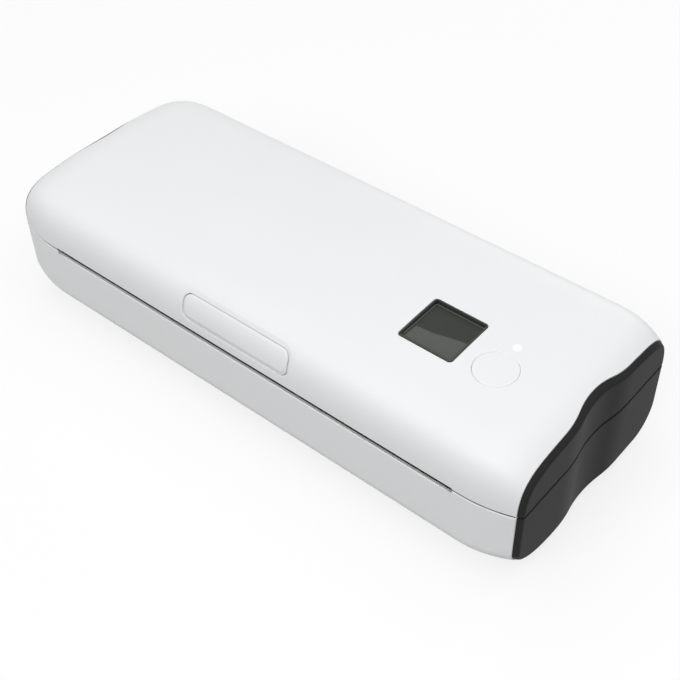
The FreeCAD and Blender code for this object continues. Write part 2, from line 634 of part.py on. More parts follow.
def rounded(name, thing, radius, *tools):
    """Solid whose outer edges are rounded where the tools have cut the outer form."""
    doc.recompute()
    skin = whole_form.Shape.Shells[0]
    outer = [edge for edge in thing.Shape.Edges if lies_in(edge, skin)]
    edges = [edge for edge in outer if any(lies_in(edge, tool.Shape.Shells[0]) for tool in tools)]
    return feature(name, thing.Shape.makeFillet(size(radius), edges))


shell_form = common("shell_form", whole_form, seam_form)
caps_form = cut("caps_form", whole_form, seam_form)
cover_zone = zone("cover_zone", COVER_LOW, ABOVE)
base_zone = zone("base_zone", "-overrun", BASE_TOP)
right_zone = zone("right_zone", "-overrun", ABOVE, x=("0", BIG))
left_zone = zone("left_zone", "-overrun", ABOVE, x=("-" + BIG, "0"))


# End caps: four dark waisted mouldings over the ends of the shells

for side, side_zone in (("left", left_zone), ("right", right_zone)):
    for level, level_zone in (("cover", cover_zone), ("base", base_zone)):
        cap = common("%s_%s_cap_block" % (side, level), caps_form, side_zone, level_zone)
        cap = rounded("%s_%s_cap_form" % (side, level), cap, "lip_round", seam_form, level_zone)
        piece("%s_%s_cap" % (side, level), cap)


# Hinge: a bead along the cover's rear edge, two knuckles of the base, two steel pins

bead = rod("bead_blank", "X", "bead_radius", both("ledge_half - fit_gap"), (HINGE_Y, "parting_height"))
hinge_bead = common("hinge_bead", bead, whole_form)
knuckle_slots = []
knuckles = []
pin_bores = []
pins = []
for side, sign in (("left", "-"), ("right", "")):
    middle = sign + "knuckle_x"
    wide = spread(middle, "knuckle_wide / 2")
    knuckles.append(rod(side + "_knuckle_eye", "X", "bead_radius", wide, (HINGE_Y, "parting_height")))
    knuckles.append(box(side + "_knuckle_stem", wide, spread(HINGE_Y, "bead_radius"),
                        ("parting_height - 2 * ledge_drop", "parting_height")))
    knuckle_slots.append(box(side + "_knuckle_slot", spread(middle, "knuckle_wide / 2 + knuckle_gap"),
                             (HINGE_Y + " - bead_radius - fit_gap", REAR + " + overrun"),
                             ("parting_height - ledge_drop", "parting_height + bead_radius + knuckle_gap")))
    pin_bores.append(rod(side + "_pin_bore", "X", "hinge_pin_radius + running_gap",
                         spread(middle, "hinge_pin_long / 2 + fit_gap"), (HINGE_Y, "parting_height")))
    pins.append(rod(side + "_hinge_pin", "X", "hinge_pin_radius", spread(middle, "hinge_pin_long / 2"),
                    (HINGE_Y, "parting_height")))
piece("hinge_pins", group("hinge_pin_pair", *pins))


# Window: a square well with a black bezel and a smoked lens

LENS_TOP = "(body_height - window_sink)"
LENS_LOW = "(body_height - window_sink - lens_thick)"


def window_box(name, half, z):
    """Square block about the middle of the window, with rounded corners."""
    return slab(name, "Z", spread("window_x", half), spread("window_y", half), z,
                "window_corner + %s - window_side / 2" % half)


window_hole = window_box("window_hole", "window_side / 2 + bezel_gap", (LENS_LOW, ABOVE))
window_pocket = window_box("window_pocket", "window_side / 2 + bezel_flange + bezel_gap",
                           (LENS_LOW, LENS_TOP + " + bezel_wall + seat_gap"))
bezel_tube = window_box("bezel_tube", "window_side / 2", (LENS_LOW, ABOVE))
bezel_tube_form = common("bezel_tube_form", bezel_tube, whole_form)
bezel_plate = window_box("bezel_plate", "window_side / 2 + bezel_flange",
                         (LENS_LOW, LENS_TOP + " + bezel_wall"))
bezel_bore = window_box("bezel_bore", "window_side / 2 - bezel_wall", (LENS_LOW + " - overrun", ABOVE))
lens_seat = window_box("lens_seat", "window_side / 2 + lens_rim + seat_gap",
                       (LENS_LOW + " - overrun", LENS_TOP))
bezel_solid = fuse("bezel_solid", bezel_tube_form, bezel_plate)
piece("window_bezel", cut("bezel_form", bezel_solid, bezel_bore, lens_seat))
piece("window_lens", window_box("lens_form", "window_side / 2 + lens_rim", (LENS_LOW, LENS_TOP)))


# Power button, status lamp and the key board under them

FLANGE_TOP = "(%s - flange_drop)" % CEILING
FLANGE_LOW = "(%s - flange_drop - flange_thick)" % CEILING
STEM_LOW = "(%s - stem_long)" % FLANGE_LOW
SWITCH_TOP = "(%s - button_travel - seat_gap)" % STEM_LOW
KEY_BOARD_TOP = "(%s - switch_height)" % SWITCH_TOP
BUTTON = ("button_x", "button_y")
LAMP = ("lamp_x", "lamp_y")

button_hole = rod("button_hole", "Z", "button_radius + button_gap", (FLANGE_LOW, ABOVE), BUTTON)
button_blank = rod("button_blank", "Z", "button_radius", (FLANGE_LOW, ABOVE), BUTTON)
button_raw = common("button_raw", button_blank, whole_form)
button_disc = rounded("button_disc", button_raw, "mouth_round", button_blank)
button_flange = rod("button_flange", "Z", "button_radius + flange_wide", (FLANGE_LOW, FLANGE_TOP), BUTTON)
button_stem = rod("button_stem", "Z", "stem_radius", (STEM_LOW, FLANGE_TOP), BUTTON)
piece("power_button", fuse("button_form", button_disc, button_flange, button_stem))

lamp_hole = rod("lamp_hole", "Z", "lamp_radius + seat_gap", (FLANGE_LOW, ABOVE), LAMP)
lamp_blank = rod("lamp_blank", "Z", "lamp_radius", (KEY_BOARD_TOP + " + lamp_chip + seat_gap", ABOVE), LAMP)
lamp_pipe = common("lamp_pipe", lamp_blank, whole_form)
lamp_flange = rod("lamp_flange", "Z", "lamp_radius + flange_wide", (FLANGE_LOW, FLANGE_TOP), LAMP)
piece("lamp_light_pipe", fuse("lamp_form", lamp_pipe, lamp_flange))

key_board_plate = slab("key_board_plate", "Z", spread("button_x", "key_board_x"),
                       ("key_board_front", "key_board_rear"),
                       (KEY_BOARD_TOP + " - board_thick", KEY_BOARD_TOP), "board_corner")
key_switch = box("key_switch", spread("button_x", "switch_side / 2"),
                 spread("button_y", "switch_side / 2"), (KEY_BOARD_TOP, SWITCH_TOP))
lamp_chip = box("lamp_chip_block", spread("lamp_x", "lamp_chip"), spread("lamp_y", "lamp_chip"),
                (KEY_BOARD_TOP, KEY_BOARD_TOP + " + lamp_chip"))
key_bosses = []
key_screws = []
key_bores = []
for side, sign in (("left", "-"), ("right", "+")):
    place = ("button_x %s key_boss_x" % sign, "key_boss_y")
    key_bosses.append(rod(side + "_key_boss", "Z", "boss_radius",
                          (KEY_BOARD_TOP, CEILING + " + wall / 2"), place))
    key_bores.append(rod(side + "_key_bore", "Z", "screw_radius + running_gap",
                         (KEY_BOARD_TOP + " - 2 * board_thick", KEY_BOARD_TOP + " + screw_long"),
                         place))
    shank = rod(side + "_key_shank", "Z", "screw_radius",
                (KEY_BOARD_TOP + " - board_thick", KEY_BOARD_TOP + " + screw_long - board_thick"), place)
    head = rod(side + "_key_head", "Z", "screw_head_radius",
               (KEY_BOARD_TOP + " - board_thick - screw_head_thick", KEY_BOARD_TOP + " - board_thick"),
               place)
    key_screws.append(fuse(side + "_key_screw", shank, head))
key_board_solid = fuse("key_board_solid", key_board_plate, key_switch, lamp_chip)
piece("key_board", cut("key_board_form", key_board_solid, *key_bores))
piece("key_board_screws", group("key_board_screw_pair", *key_screws))


# Release button: a pressed pad in the cover's front rounding, with arms to the latch bar

def rounded_prism(name, grow):
    """Rounded bar through the front rounding, square to the pad's face."""
    lean = math.radians(size("pad_tilt"))
    outward = V(0, -math.cos(lean), math.sin(lean))
    split = size("parting_height")
    middle = V(0, -size("body_depth") / 2, split + (size("pad_low") + size("pad_high")) / 2)
    tall = (size("pad_high") - size("pad_low")) / 2 / math.cos(lean) + grow
    long = size("pad_half") + grow
    corner = size("pad_corner") + grow
    depth = size("front_reach") / 2
    near = middle - outward * depth
    made = Part.makeBox(2 * long, 2 * depth, 2 * tall)
    edges = [edge for edge in made.Edges if abs(edge.tangentAt(edge.FirstParameter).y) > 0.9]
    made = made.makeFillet(corner, edges)
    turn = FreeCAD.Rotation(V(1, 0, 0), -size("pad_tilt"))
    corner_place = near + turn.multVec(V(-long, -2 * depth, -tall))
    return feature(name, made, FreeCAD.Placement(corner_place, turn))


pad_prism = rounded_prism("pad_prism", 0)
pad_hole = rounded_prism("pad_hole", size("pad_gap"))
pad_raw = common("pad_raw", pad_prism, whole_form)
pad_block = rounded("pad_block", pad_raw, "mouth_round", pad_prism)
pad_skin = cut("pad_skin", pad_block, hollow_form)
LATCH_Y = spread("latch_bar_y", "latch_bar_side / 2")
LATCH_Z = spread("latch_bar_z", "latch_bar_side / 2")
arms = []
for side, sign in (("left", "-"), ("right", "")):
    arm = box(side + "_arm_blank", spread(sign + "arm_x", "latch_bar_side / 2"),
              ("-" + REAR, LATCH_Y[0]), (LATCH_Z[0], "latch_bar_z"))
    arms.append(common(side + "_arm", arm, half_wall_form))
piece("release_button", fuse("release_form", pad_skin, *arms))

hooks = []
for side, sign in (("left", "-"), ("right", "")):
    wide = spread(sign + "latch_x", "latch_wide / 2")
    hooks.append(box(side + "_hook_leg", wide, LATCH_Y, ("latch_low", LATCH_Z[1])))
    hooks.append(box(side + "_hook_nose", wide, ("-latch_reach", LATCH_Y[1]),
                     ("latch_low", "latch_low + latch_nose")))
latch_rail = box("latch_rail", both("latch_x + latch_wide / 2"), LATCH_Y, LATCH_Z)
piece("latch_bar", fuse("latch_form", latch_rail, *hooks))


# Platen: a rubber roller on a steel shaft, carried by two brackets under the cover

PLATEN = ("platen_y", "platen_z")
SHAFT_RIGHT = "(bracket_inner + 2 * bracket_thick)"
piece("platen_shaft", rod("shaft_form", "X", "shaft_radius",
                          ("-(gear_first + gear_wide + gear_space / 2)", SHAFT_RIGHT), PLATEN))
rubber_blank = rod("rubber_blank", "X", "platen_radius", both("platen_half"), PLATEN)
rubber_bore = rod("rubber_bore", "X", "shaft_radius", both("platen_half + overrun"), PLATEN)
piece("platen_rubber", cut("rubber_form", rubber_blank, rubber_bore))

bushes = []
for side, sign in (("left", -1), ("right", 1)):
    plate = box(side + "_bracket_plate", ("bracket_inner", "bracket_inner + bracket_thick"),
                spread("platen_y", "bracket_wide / 2"), ("platen_z - bracket_wide / 2", ABOVE))
    slot = box(side + "_bracket_slot", both(BIG),
               ("%s - fit_gap" % LATCH_Y[0], "%s + pad_travel + fit_gap" % LATCH_Y[1]),
               ("%s - pad_travel - fit_gap" % LATCH_Z[0], "%s + fit_gap" % LATCH_Z[1]))
    seat = rod(side + "_bracket_seat", "X", "bush_radius + seat_gap", both(BIG), PLATEN)
    solid = cut(side + "_bracket_solid", common(side + "_bracket_blank", plate, seated_form), slot, seat)
    piece(side + "_platen_bracket", solid if sign > 0 else mirrored("left_bracket_form", solid))
    reach = ("bracket_inner - bracket_thick / 2", "bracket_inner + 3 * bracket_thick / 2")
    if sign < 0:
        reach = tuple("-(%s)" % end for end in reversed(reach))
    sleeve = rod(side + "_bush_blank", "X", "bush_radius", reach, PLATEN)
    bore = rod(side + "_bush_bore", "X", "shaft_radius + running_gap", both(BIG), PLATEN)
    bushes.append(cut(side + "_bush", sleeve, bore))
piece("platen_bushes", group("bush_pair", *bushes))


# Cover shell: white moulding with ribs, hinge bead, button and window holes

ROLL = ("bay_y", "bay_z")
COVER_RIB_SHARES = (-0.8, -0.4, 0.0, 0.35)
cover_ribs = []
for number, share in enumerate(COVER_RIB_SHARES, start=1):
    rib = box("cover_rib_%d_blank" % number, spread("(bay_half * %s)" % share, "rib_thick / 2"),
              ("deck_front", REAR), (COVER_LOW, ABOVE))
    cover_ribs.append(common("cover_rib_%d" % number, rib, hollow_form))
roll_space = rod("roll_space", "X", "bay_radius + roll_gap", both(BIG), ROLL)
rib_set = fuse("cover_rib_set", *cover_ribs)
rib_floor = box("rib_floor", both(BIG), both(BIG), ("0", "platen_z + platen_radius + roll_gap"))
ribs_clear = cut("ribs_clear", rib_set, roll_space, rib_floor)
slit_lip = box("slit_lip", both("slit_half"), ("-%s - overrun" % REAR, "-%s + 2 * wall" % REAR),
               ("parting_height", COVER_LOW + " + slit_lift"))
cover_half = cut("cover_half", common("cover_block", shell_form, cover_zone), slit_lip)
cover_outer = rounded("cover_outer", cover_half, "lip_round", seam_form, cover_zone, slit_lip)
for number, hole in enumerate((pad_hole, window_hole, button_hole), start=1):
    pierced = cut("cover_pierced_%d" % number, cover_outer, hole)
    cover_outer = rounded("cover_outer_%d" % number, pierced, "mouth_round", hole)
cover_skin = cut("cover_skin", cover_outer, hollow_form)
cover_solid = fuse("cover_solid", cover_skin, hinge_bead, ribs_clear, *key_bosses)
piece("cover_shell", cut("cover_form", cover_solid, window_hole, window_pocket, button_hole,
                         lamp_hole, pad_hole, *(knuckle_slots + pin_bores + key_bores)))


# Base shell: white moulding with bosses, battery cradle, ledge, knuckles and catches

rear_ledge = box("rear_ledge", both("ledge_half"),
                 (HINGE_Y + " - bead_radius - fit_gap", REAR + " + overrun"),
                 ("parting_height - ledge_drop", ABOVE))
slit_edge = box("slit_edge", both("slit_half"), ("-%s - overrun" % REAR, "-%s + 2 * wall" % REAR),
                ("parting_height - slit_drop", ABOVE))
base_half = cut("base_half", common("base_block", shell_form, base_zone), slit_edge)
base_outer = rounded("base_outer", base_half, "rim_round", seam_form, base_zone, slit_edge)
base_skin = cut("base_skin", base_outer, hollow_form)
TEAR_Y = ("-%s + tear_skin" % REAR, "-%s + tear_skin + tear_depth" % REAR)
TEAR_LOW = "(parting_height - slit_drop - tear_tall)"
tear_seat = box("tear_seat", both("slit_half"), (TEAR_Y[0], TEAR_Y[1] + " + seat_gap"), (TEAR_LOW, ABOVE))
POSTS = [(sign + "post_front_x", "post_front_y", "deck_top - frame_wall") for sign in ("-", "")]
POSTS += [(sign + "post_rear_x", "post_rear_y", "tab_top - frame_wall") for sign in ("-", "")]
posts = []
post_bores = []
frame_screws = []
for number, (post_x, post_y, post_top) in enumerate(POSTS, start=1):
    place = (post_x, post_y)
    posts.append(rod("post_%d" % number, "Z", "boss_radius", (FLOOR + " - wall / 2", post_top), place))
    post_bores.append(rod("post_bore_%d" % number, "Z", "screw_radius + running_gap",
                          (post_top + " - screw_long", post_top + " + 2 * frame_wall"), place))
    shank = rod("frame_shank_%d" % number, "Z", "screw_radius",
                (post_top + " + frame_wall - screw_long", post_top + " + frame_wall"), place)
    head = rod("frame_head_%d" % number, "Z", "screw_head_radius",
               (post_top + " + frame_wall", post_top + " + frame_wall + screw_head_thick"), place)
    frame_screws.append(fuse("frame_screw_%d" % number, shank, head))
piece("frame_screws", group("frame_screw_set", *frame_screws))

BOARD_POST_SHARES = ((0.06, 0.75), (0.94, 0.75), (0.06, 0.25), (0.94, 0.25))
board_posts = []
board_bores = []
board_screws = []
for number, (share_x, share_y) in enumerate(BOARD_POST_SHARES, start=1):
    place = ("board_left + (board_right - board_left) * %s" % share_x,
             "board_front + (board_rear - board_front) * %s" % share_y)
    board_posts.append(rod("board_post_%d" % number, "Z", "boss_radius",
                           (FLOOR + " - wall / 2", "board_low"), place))
    board_bores.append(rod("board_bore_%d" % number, "Z", "screw_radius + running_gap",
                           ("board_low - screw_long", "board_low + 2 * board_thick"), place))
    shank = rod("board_shank_%d" % number, "Z", "screw_radius",
                ("board_low + board_thick - screw_long", "board_low + board_thick"), place)
    head = rod("board_head_%d" % number, "Z", "screw_head_radius",
               ("board_low + board_thick", "board_low + board_thick + screw_head_thick"), place)
    board_screws.append(fuse("board_screw_%d" % number, shank, head))
piece("main_board_screws", group("board_screw_set", *board_screws))

CELLS_RIGHT = "(cell_left + 2 * cell_long + cell_gap)"
CRADLE_RIB_SHARES = (0.08, 0.36, 0.64, 0.92)
cradle_ribs = []
for number, share in enumerate(CRADLE_RIB_SHARES, start=1):
    middle = "(cell_left + (2 * cell_long + cell_gap) * %s)" % share
    cradle_ribs.append(box("cradle_rib_%d" % number, spread(middle, "rib_thick / 2"),
                           spread("cell_y", "cell_radius + cradle_wide"), (FLOOR + " - wall / 2", CELL_Z)))
cell_space = rod("cell_space", "X", "cell_radius + seat_gap",
                 ("cell_left - fit_gap", CELLS_RIGHT + " + fit_gap"), ("cell_y", CELL_Z))
cradle = cut("cradle", fuse("cradle_set", *cradle_ribs), cell_space)

catches = []
for side, sign in (("left", "-"), ("right", "")):
    block = box(side + "_catch_blank", spread(sign + "latch_x", "catch_half"), ("-" + REAR, "-catch_reach"),
                ("catch_low", "catch_low + catch_tall"))
    catches.append(common(side + "_catch", block, half_wall_form))

feet = []
foot_recesses = []
for number, (foot_x, foot_y) in enumerate((("-foot_x", "foot_front"), ("foot_x", "foot_front"),
                                           ("-foot_x", "foot_rear"), ("foot_x", "foot_rear")), start=1):
    place = (foot_x, foot_y)
    feet.append(rod("foot_%d" % number, "Z", "foot_radius", ("0", "foot_proud + foot_recess"), place))
    foot_recesses.append(rod("foot_recess_%d" % number, "Z", "foot_radius + seat_gap",
                             ("-overrun", "foot_proud + foot_recess"), place))
piece("rubber_feet", group("foot_set", *feet))

USB_Z = spread("(board_low + board_thick + usb_tall / 2)", "usb_tall / 2")
usb_hole = slab("usb_hole", "Y", spread("usb_x", "usb_wide / 2 + usb_gap"),
                ("%s - usb_gap" % USB_Z[0], "%s + usb_gap" % USB_Z[1]),
                ("board_front", REAR + " + overrun"), "usb_corner + usb_gap")
bosses = common("bosses", fuse("boss_set", *(posts + board_posts)), half_wall_form)
base_solid = fuse("base_solid", cut("base_edge", base_skin, rear_ledge, slit_edge), cradle, bosses,
                  *(knuckles + catches))
piece("base_shell", cut("base_form", base_solid, tear_seat, usb_hole,
                        *(post_bores + board_bores + foot_recesses + pin_bores)))


# Tear bar: a toothed strip along the base's front edge

def tear_bar():
    half = size("slit_half") - size("seat_gap")
    tip = size("parting_height") - size("slit_drop")
    root = tip - size("tooth_depth")
    low = tip - size("tear_tall")
    front = -size("body_depth") / 2 + size("tear_skin")
    rear = front + size("tear_depth")
    count = int(2 * half / size("tooth_pitch"))
    pitch = 2 * half / count
    saw = [V(-half, front, low), V(-half, front, root)]
    for number in range(count):
        saw.append(V(-half + (number + 0.5) * pitch, front, tip))
        saw.append(V(-half + (number + 1) * pitch, front, root))
    saw += [V(half, front, low), V(-half, front, low)]
    toothed = Part.Face(Part.makePolygon(saw)).extrude(V(0, rear - front, 0))
    bevel = [V(-half, front, low), V(-half, rear, low), V(-half, rear, tip),
             V(-half, rear - size("tear_depth") / 2, tip), V(-half, front, root),
             V(-half, front, low)]
    bevelled = Part.Face(Part.makePolygon(bevel)).extrude(V(2 * half, 0, 0))
    return toothed.common(bevelled)


piece("tear_bar", feature("tear_bar_form", tear_bar()))


# Paper tray: dark moulding, a half-round trough for the roll, screwed to the rear posts

DECK_LOW = "(deck_top - frame_wall)"
BAY_FRONT = "(bay_y - bay_radius)"
BAY_REAR = "(bay_y + bay_radius)"
TRAY_X = both("bay_half - seat_gap")
trough_blank = rod("trough_blank", "X", "bay_radius + frame_wall", TRAY_X, ROLL)
trough_top = box("trough_top", both(BIG), both(BIG), ("bay_z", ABOVE))
trough_bore = rod("trough_bore", "X", "bay_radius", both(BIG), ROLL)
trough = cut("trough", trough_blank, trough_top, trough_bore)
bay_back = box("bay_back", TRAY_X, (BAY_REAR, BAY_REAR + " + frame_wall"),
               ("bay_z", BASE_TOP + " - cheek_drop"))
bay_lip = box("bay_lip", TRAY_X, (BAY_FRONT + " - frame_wall", BAY_FRONT), ("bay_z", "deck_top"))
tray_parts = [trough, bay_back, bay_lip]
for side, ends in (("left", (TRAY_X[0], "-(post_rear_x - boss_radius - frame_wall)")),
                   ("right", ("post_rear_x - boss_radius - frame_wall", TRAY_X[1]))):
    tray_parts.append(box(side + "_tab", ends, (BAY_REAR, "post_rear_y + boss_radius"),
                          ("tab_top - frame_wall", "tab_top")))
tray_solid = fuse("tray_solid", *tray_parts)
piece("paper_tray", cut("tray_form", common("tray_in_base", tray_solid, fitted_form), *post_bores))


# Inner frame: dark moulding with two cheeks, the paper deck and the beam under the head

INSIDE = both("bay_half + cheek_thick / 2")
DECK_REAR = "(%s - frame_wall - seat_gap)" % BAY_FRONT
frame_parts = [box("deck", INSIDE, ("deck_front", DECK_REAR), (DECK_LOW, "deck_top"))]
for side, ends in (("left", ("-" + CHEEK_OUT, "-bay_half")), ("right", ("bay_half", CHEEK_OUT))):
    frame_parts.append(box(side + "_cheek", ends, ("cheek_front", "cheek_rear"),
                           (FLOOR, BASE_TOP + " - cheek_drop")))
    frame_parts.append(box(side + "_cheek_horn", ends, spread("platen_y", "platen_radius + frame_wall"),
                           (BASE_TOP + " - cheek_drop", "platen_z")))
beam = box("beam", ("beam_left", "bay_half + cheek_thick / 2"), ("cheek_front", "beam_rear"),
           ("beam_top - beam_thick", "beam_top"))
frame_parts.append(beam)
for number, place in enumerate(("beam_left + rib_thick / 2", "0", "-beam_left"), start=1):
    frame_parts.append(box("deck_rib_%d" % number, spread("(%s)" % place, "rib_thick / 2"),
                           ("deck_front", DECK_REAR),
                           ("beam_top - beam_thick", "deck_top - frame_wall / 2")))
frame_solid = fuse("frame_solid", *frame_parts)
frame_in_base = common("frame_in_base", frame_solid, fitted_form)
notch = rod("platen_notch", "X", "shaft_radius + notch_gap", both(BIG), PLATEN)
notch_top = box("notch_top", both(BIG), spread("platen_y", "shaft_radius + notch_gap"), ("platen_z", ABOVE))
PIVOT = ("pivot_y", "pivot_z")
pivot_bore = rod("pivot_bore", "X", "pivot_radius + seat_gap", both(BIG), PIVOT)
axle_bore = rod("axle_bore", "X", "axle_radius + seat_gap", ("-" + BIG, "0"), (IDLER_Y, IDLER_Z))
spigot_bore = rod("spigot_bore", "X", "motor_hole", ("-" + BIG, "-bay_half + overrun"), (MOTOR_Y, MOTOR_Z))
sensor_hole = box("sensor_hole", spread("sensor_x", "sensor_long / 2 + seat_gap"),
                  spread("sensor_y", "sensor_wide / 2 + seat_gap"), ("beam_top", ABOVE))
piece("inner_frame", cut("frame_form", frame_in_base, notch, notch_top, pivot_bore, axle_bore, spigot_bore,
                         sensor_hole, *post_bores))
piece("paper_sensor", box("sensor_form", spread("sensor_x", "sensor_long / 2"),
                          spread("sensor_y", "sensor_wide / 2"), ("deck_top - sensor_deep", "deck_top")))


# Print head: ceramic on an aluminium bracket that tips on a rod, pushed up by springs

SINK_TOP = "(head_top - ceramic_thick)"
SINK_LOW = "(head_top - ceramic_thick - heat_sink_thick)"
HEAD_X = both("head_half")
ceramic = box("ceramic_plate", HEAD_X, ("head_front + overrun", "head_rear - overrun"),
              (SINK_TOP, "head_top"))
heater = box("heater_line", HEAD_X, spread("platen_y", "ceramic_thick / 2"),
             (SINK_TOP, "head_top + heater_rise"))
driver = box("driver_cover", both("head_half - driver_inset"),
             ("head_rear - driver_wide - overrun", "head_rear - overrun"),
             (SINK_TOP, "head_top + ceramic_thick"))
piece("print_head", fuse("print_head_form", ceramic, heater, driver))
sink_plate = box("sink_plate", HEAD_X, ("head_front", "head_rear"), (SINK_LOW, SINK_TOP))
sink_web = box("sink_web", HEAD_X, spread("pivot_y", "web_thick / 2"), ("pivot_z", SINK_TOP))
sink_boss = rod("sink_boss", "X", "pivot_boss", HEAD_X, PIVOT)
sink_bore = rod("sink_bore", "X", "pivot_radius + running_gap", both(BIG), PIVOT)
piece("head_bracket", cut("bracket_form", fuse("bracket_solid", sink_plate, sink_web, sink_boss), sink_bore))
piece("head_pivot_rod", rod("pivot_form", "X", "pivot_radius", both(CHEEK_OUT), PIVOT))
SPRING_SHARES = (-1.0, -0.333, 0.333, 1.0)
springs = []
for number, share in enumerate(SPRING_SHARES, start=1):
    place = ("(spring_x * %s)" % share, "spring_y")
    coil = rod("spring_%d_blank" % number, "Z", "spring_radius",
               ("beam_top", SINK_LOW + " - fit_gap"), place)
    core = rod("spring_%d_core" % number, "Z", "spring_bore", ("beam_top - overrun", SINK_TOP), place)
    springs.append(cut("spring_%d" % number, coil, core))
piece("head_springs", group("spring_set", *springs))


# Paper feed: stepper motor, pinion, double reduction gear and platen gear

def wheel(teeth, inner, outer, centre, bore, turn):
    """Toothed wheel about X between two places from the middle, left of the middle."""
    module = size("gear_module")
    pitch = module * teeth / 2
    tip = pitch + module * TIP_SHARE
    root = pitch - module * ROOT_SHARE
    step = 2 * math.pi / teeth
    flanks = ((root, ROOT_WIDTH_SHARE), (pitch, PITCH_WIDTH_SHARE), (tip, TIP_WIDTH_SHARE))
    points = []
    for tooth in range(int(teeth)):
        middle = turn + tooth * step
        rising = [(radius, middle - step * share) for radius, share in flanks]
        falling = [(radius, middle + step * share) for radius, share in reversed(flanks)]
        points += [V(-outer, centre[0] + radius * math.sin(angle), centre[1] + radius * math.cos(angle))
                   for radius, angle in rising + falling]
    solid = Part.Face(Part.makePolygon(points + points[:1])).extrude(V(outer - inner, 0, 0))
    if bore:
        hole = Part.makeCylinder(bore, outer - inner, V(-outer, centre[0], centre[1]), V(1, 0, 0))
        solid = solid.cut(hole)
    return solid


# Tooth heights as shares of the module, tooth half widths as shares of one step.
TIP_SHARE = 0.95
ROOT_SHARE = 1.2
ROOT_WIDTH_SHARE = 0.36
PITCH_WIDTH_SHARE = 0.235
TIP_WIDTH_SHARE = 0.1


def reach(first, second):
    """Centre distance of two meshed wheels."""
    return size("gear_module") * (size(first) + size(second)) / 2 + size("mesh_gap")


platen_at = (size("platen_y"), size("platen_z"))
idler_lean = math.radians(size("idler_angle"))
motor_lean = math.radians(size("motor_angle"))
idler_at = (platen_at[0] + reach("platen_teeth", "idler_small_teeth") * math.sin(idler_lean),
            platen_at[1] - reach("platen_teeth", "idler_small_teeth") * math.cos(idler_lean))
motor_at = (idler_at[0] + reach("idler_large_teeth", "pinion_teeth") * math.sin(motor_lean),
            idler_at[1] - reach("idler_large_teeth", "pinion_teeth") * math.cos(motor_lean))
first_row = (size("gear_first"), size("gear_first") + size("gear_wide"))
second_row = tuple(place + size("gear_wide") + size("gear_space") for place in first_row)
running = size("running_gap")

# A wheel's turn is measured from straight up towards the rear. A tooth of the lower
# wheel stands in a space of the upper one on the line between their centres.
toward_idler = math.pi - idler_lean
toward_motor = math.pi - motor_lean
platen_turn = toward_idler + math.pi / size("platen_teeth")
idler_turn = toward_idler + math.pi
large_turn = toward_motor + math.pi / size("idler_large_teeth")
pinion_turn = toward_motor + math.pi

platen_gear = wheel(size("platen_teeth"), first_row[0], first_row[1], platen_at,
                    size("shaft_radius"), platen_turn)
piece("platen_gear", feature("platen_gear_form", platen_gear))
small_wheel = wheel(size("idler_small_teeth"), first_row[0], first_row[1], idler_at,
                    size("axle_radius") + running, idler_turn)
large_wheel = wheel(size("idler_large_teeth"), second_row[0], second_row[1], idler_at,
                    size("axle_radius") + running, large_turn)
hub_radius = size("gear_module") * size("idler_small_teeth") / 2 - size("gear_module") * ROOT_SHARE
hub = Part.makeCylinder(hub_radius, second_row[0] - first_row[0],
                        V(-second_row[0], idler_at[0], idler_at[1]), V(1, 0, 0))
hub_bore = Part.makeCylinder(size("axle_radius") + running, second_row[1],
                             V(-second_row[1], idler_at[0], idler_at[1]), V(1, 0, 0))
piece("reduction_gear", feature("reduction_form", small_wheel.fuse([large_wheel, hub]).cut(hub_bore)))

AXLE = (IDLER_Y, IDLER_Z)
axle = rod("axle", "X", "axle_radius", ("-(%s + gear_wide + seat_gap)" % GEAR_SECOND, "-bay_half"), AXLE)
axle_head = rod("axle_head", "X", "axle_radius * 1.5",
                ("-(%s + gear_wide + gear_space + seat_gap)" % GEAR_SECOND,
                 "-(%s + gear_wide + seat_gap)" % GEAR_SECOND), AXLE)
collar = rod("axle_collar", "X", "axle_radius * 1.5", ("-(gear_first - seat_gap)", "-" + CHEEK_OUT), AXLE)
piece("gear_axle", fuse("axle_form", axle, axle_head, collar))

MOTOR = (MOTOR_Y, MOTOR_Z)
can = rod("motor_can", "X", "motor_radius", ("-bay_half", "-bay_half + motor_long"), MOTOR)
spigot = rod("motor_spigot", "X", "motor_hole - seat_gap", ("-" + CHEEK_OUT, "-bay_half + overrun"), MOTOR)
motor_bore = rod("motor_bore", "X", "motor_shaft + running_gap",
                 ("-" + CHEEK_OUT + " - overrun", "-bay_half + motor_long / 2"), MOTOR)
piece("drive_motor", cut("motor_form", fuse("motor_solid", can, spigot), motor_bore))
pinion = wheel(size("pinion_teeth"), second_row[0], second_row[1], motor_at, 0, pinion_turn)
shaft_end = -size("bay_half") + size("motor_long") / 2 - size("seat_gap")
motor_shaft = Part.makeCylinder(size("motor_shaft"), shaft_end + second_row[1],
                                V(-second_row[1], motor_at[0], motor_at[1]), V(1, 0, 0))
piece("motor_pinion", feature("pinion_form", pinion.fuse(motor_shaft)))


# Power and electronics

cells = [rod("cell_1", "X", "cell_radius", ("cell_left", "cell_left + cell_long"), ("cell_y", CELL_Z)),
         rod("cell_2", "X", "cell_radius", ("cell_left + cell_long + cell_gap", CELLS_RIGHT),
             ("cell_y", CELL_Z))]
piece("battery_cells", group("cell_pair", *cells))

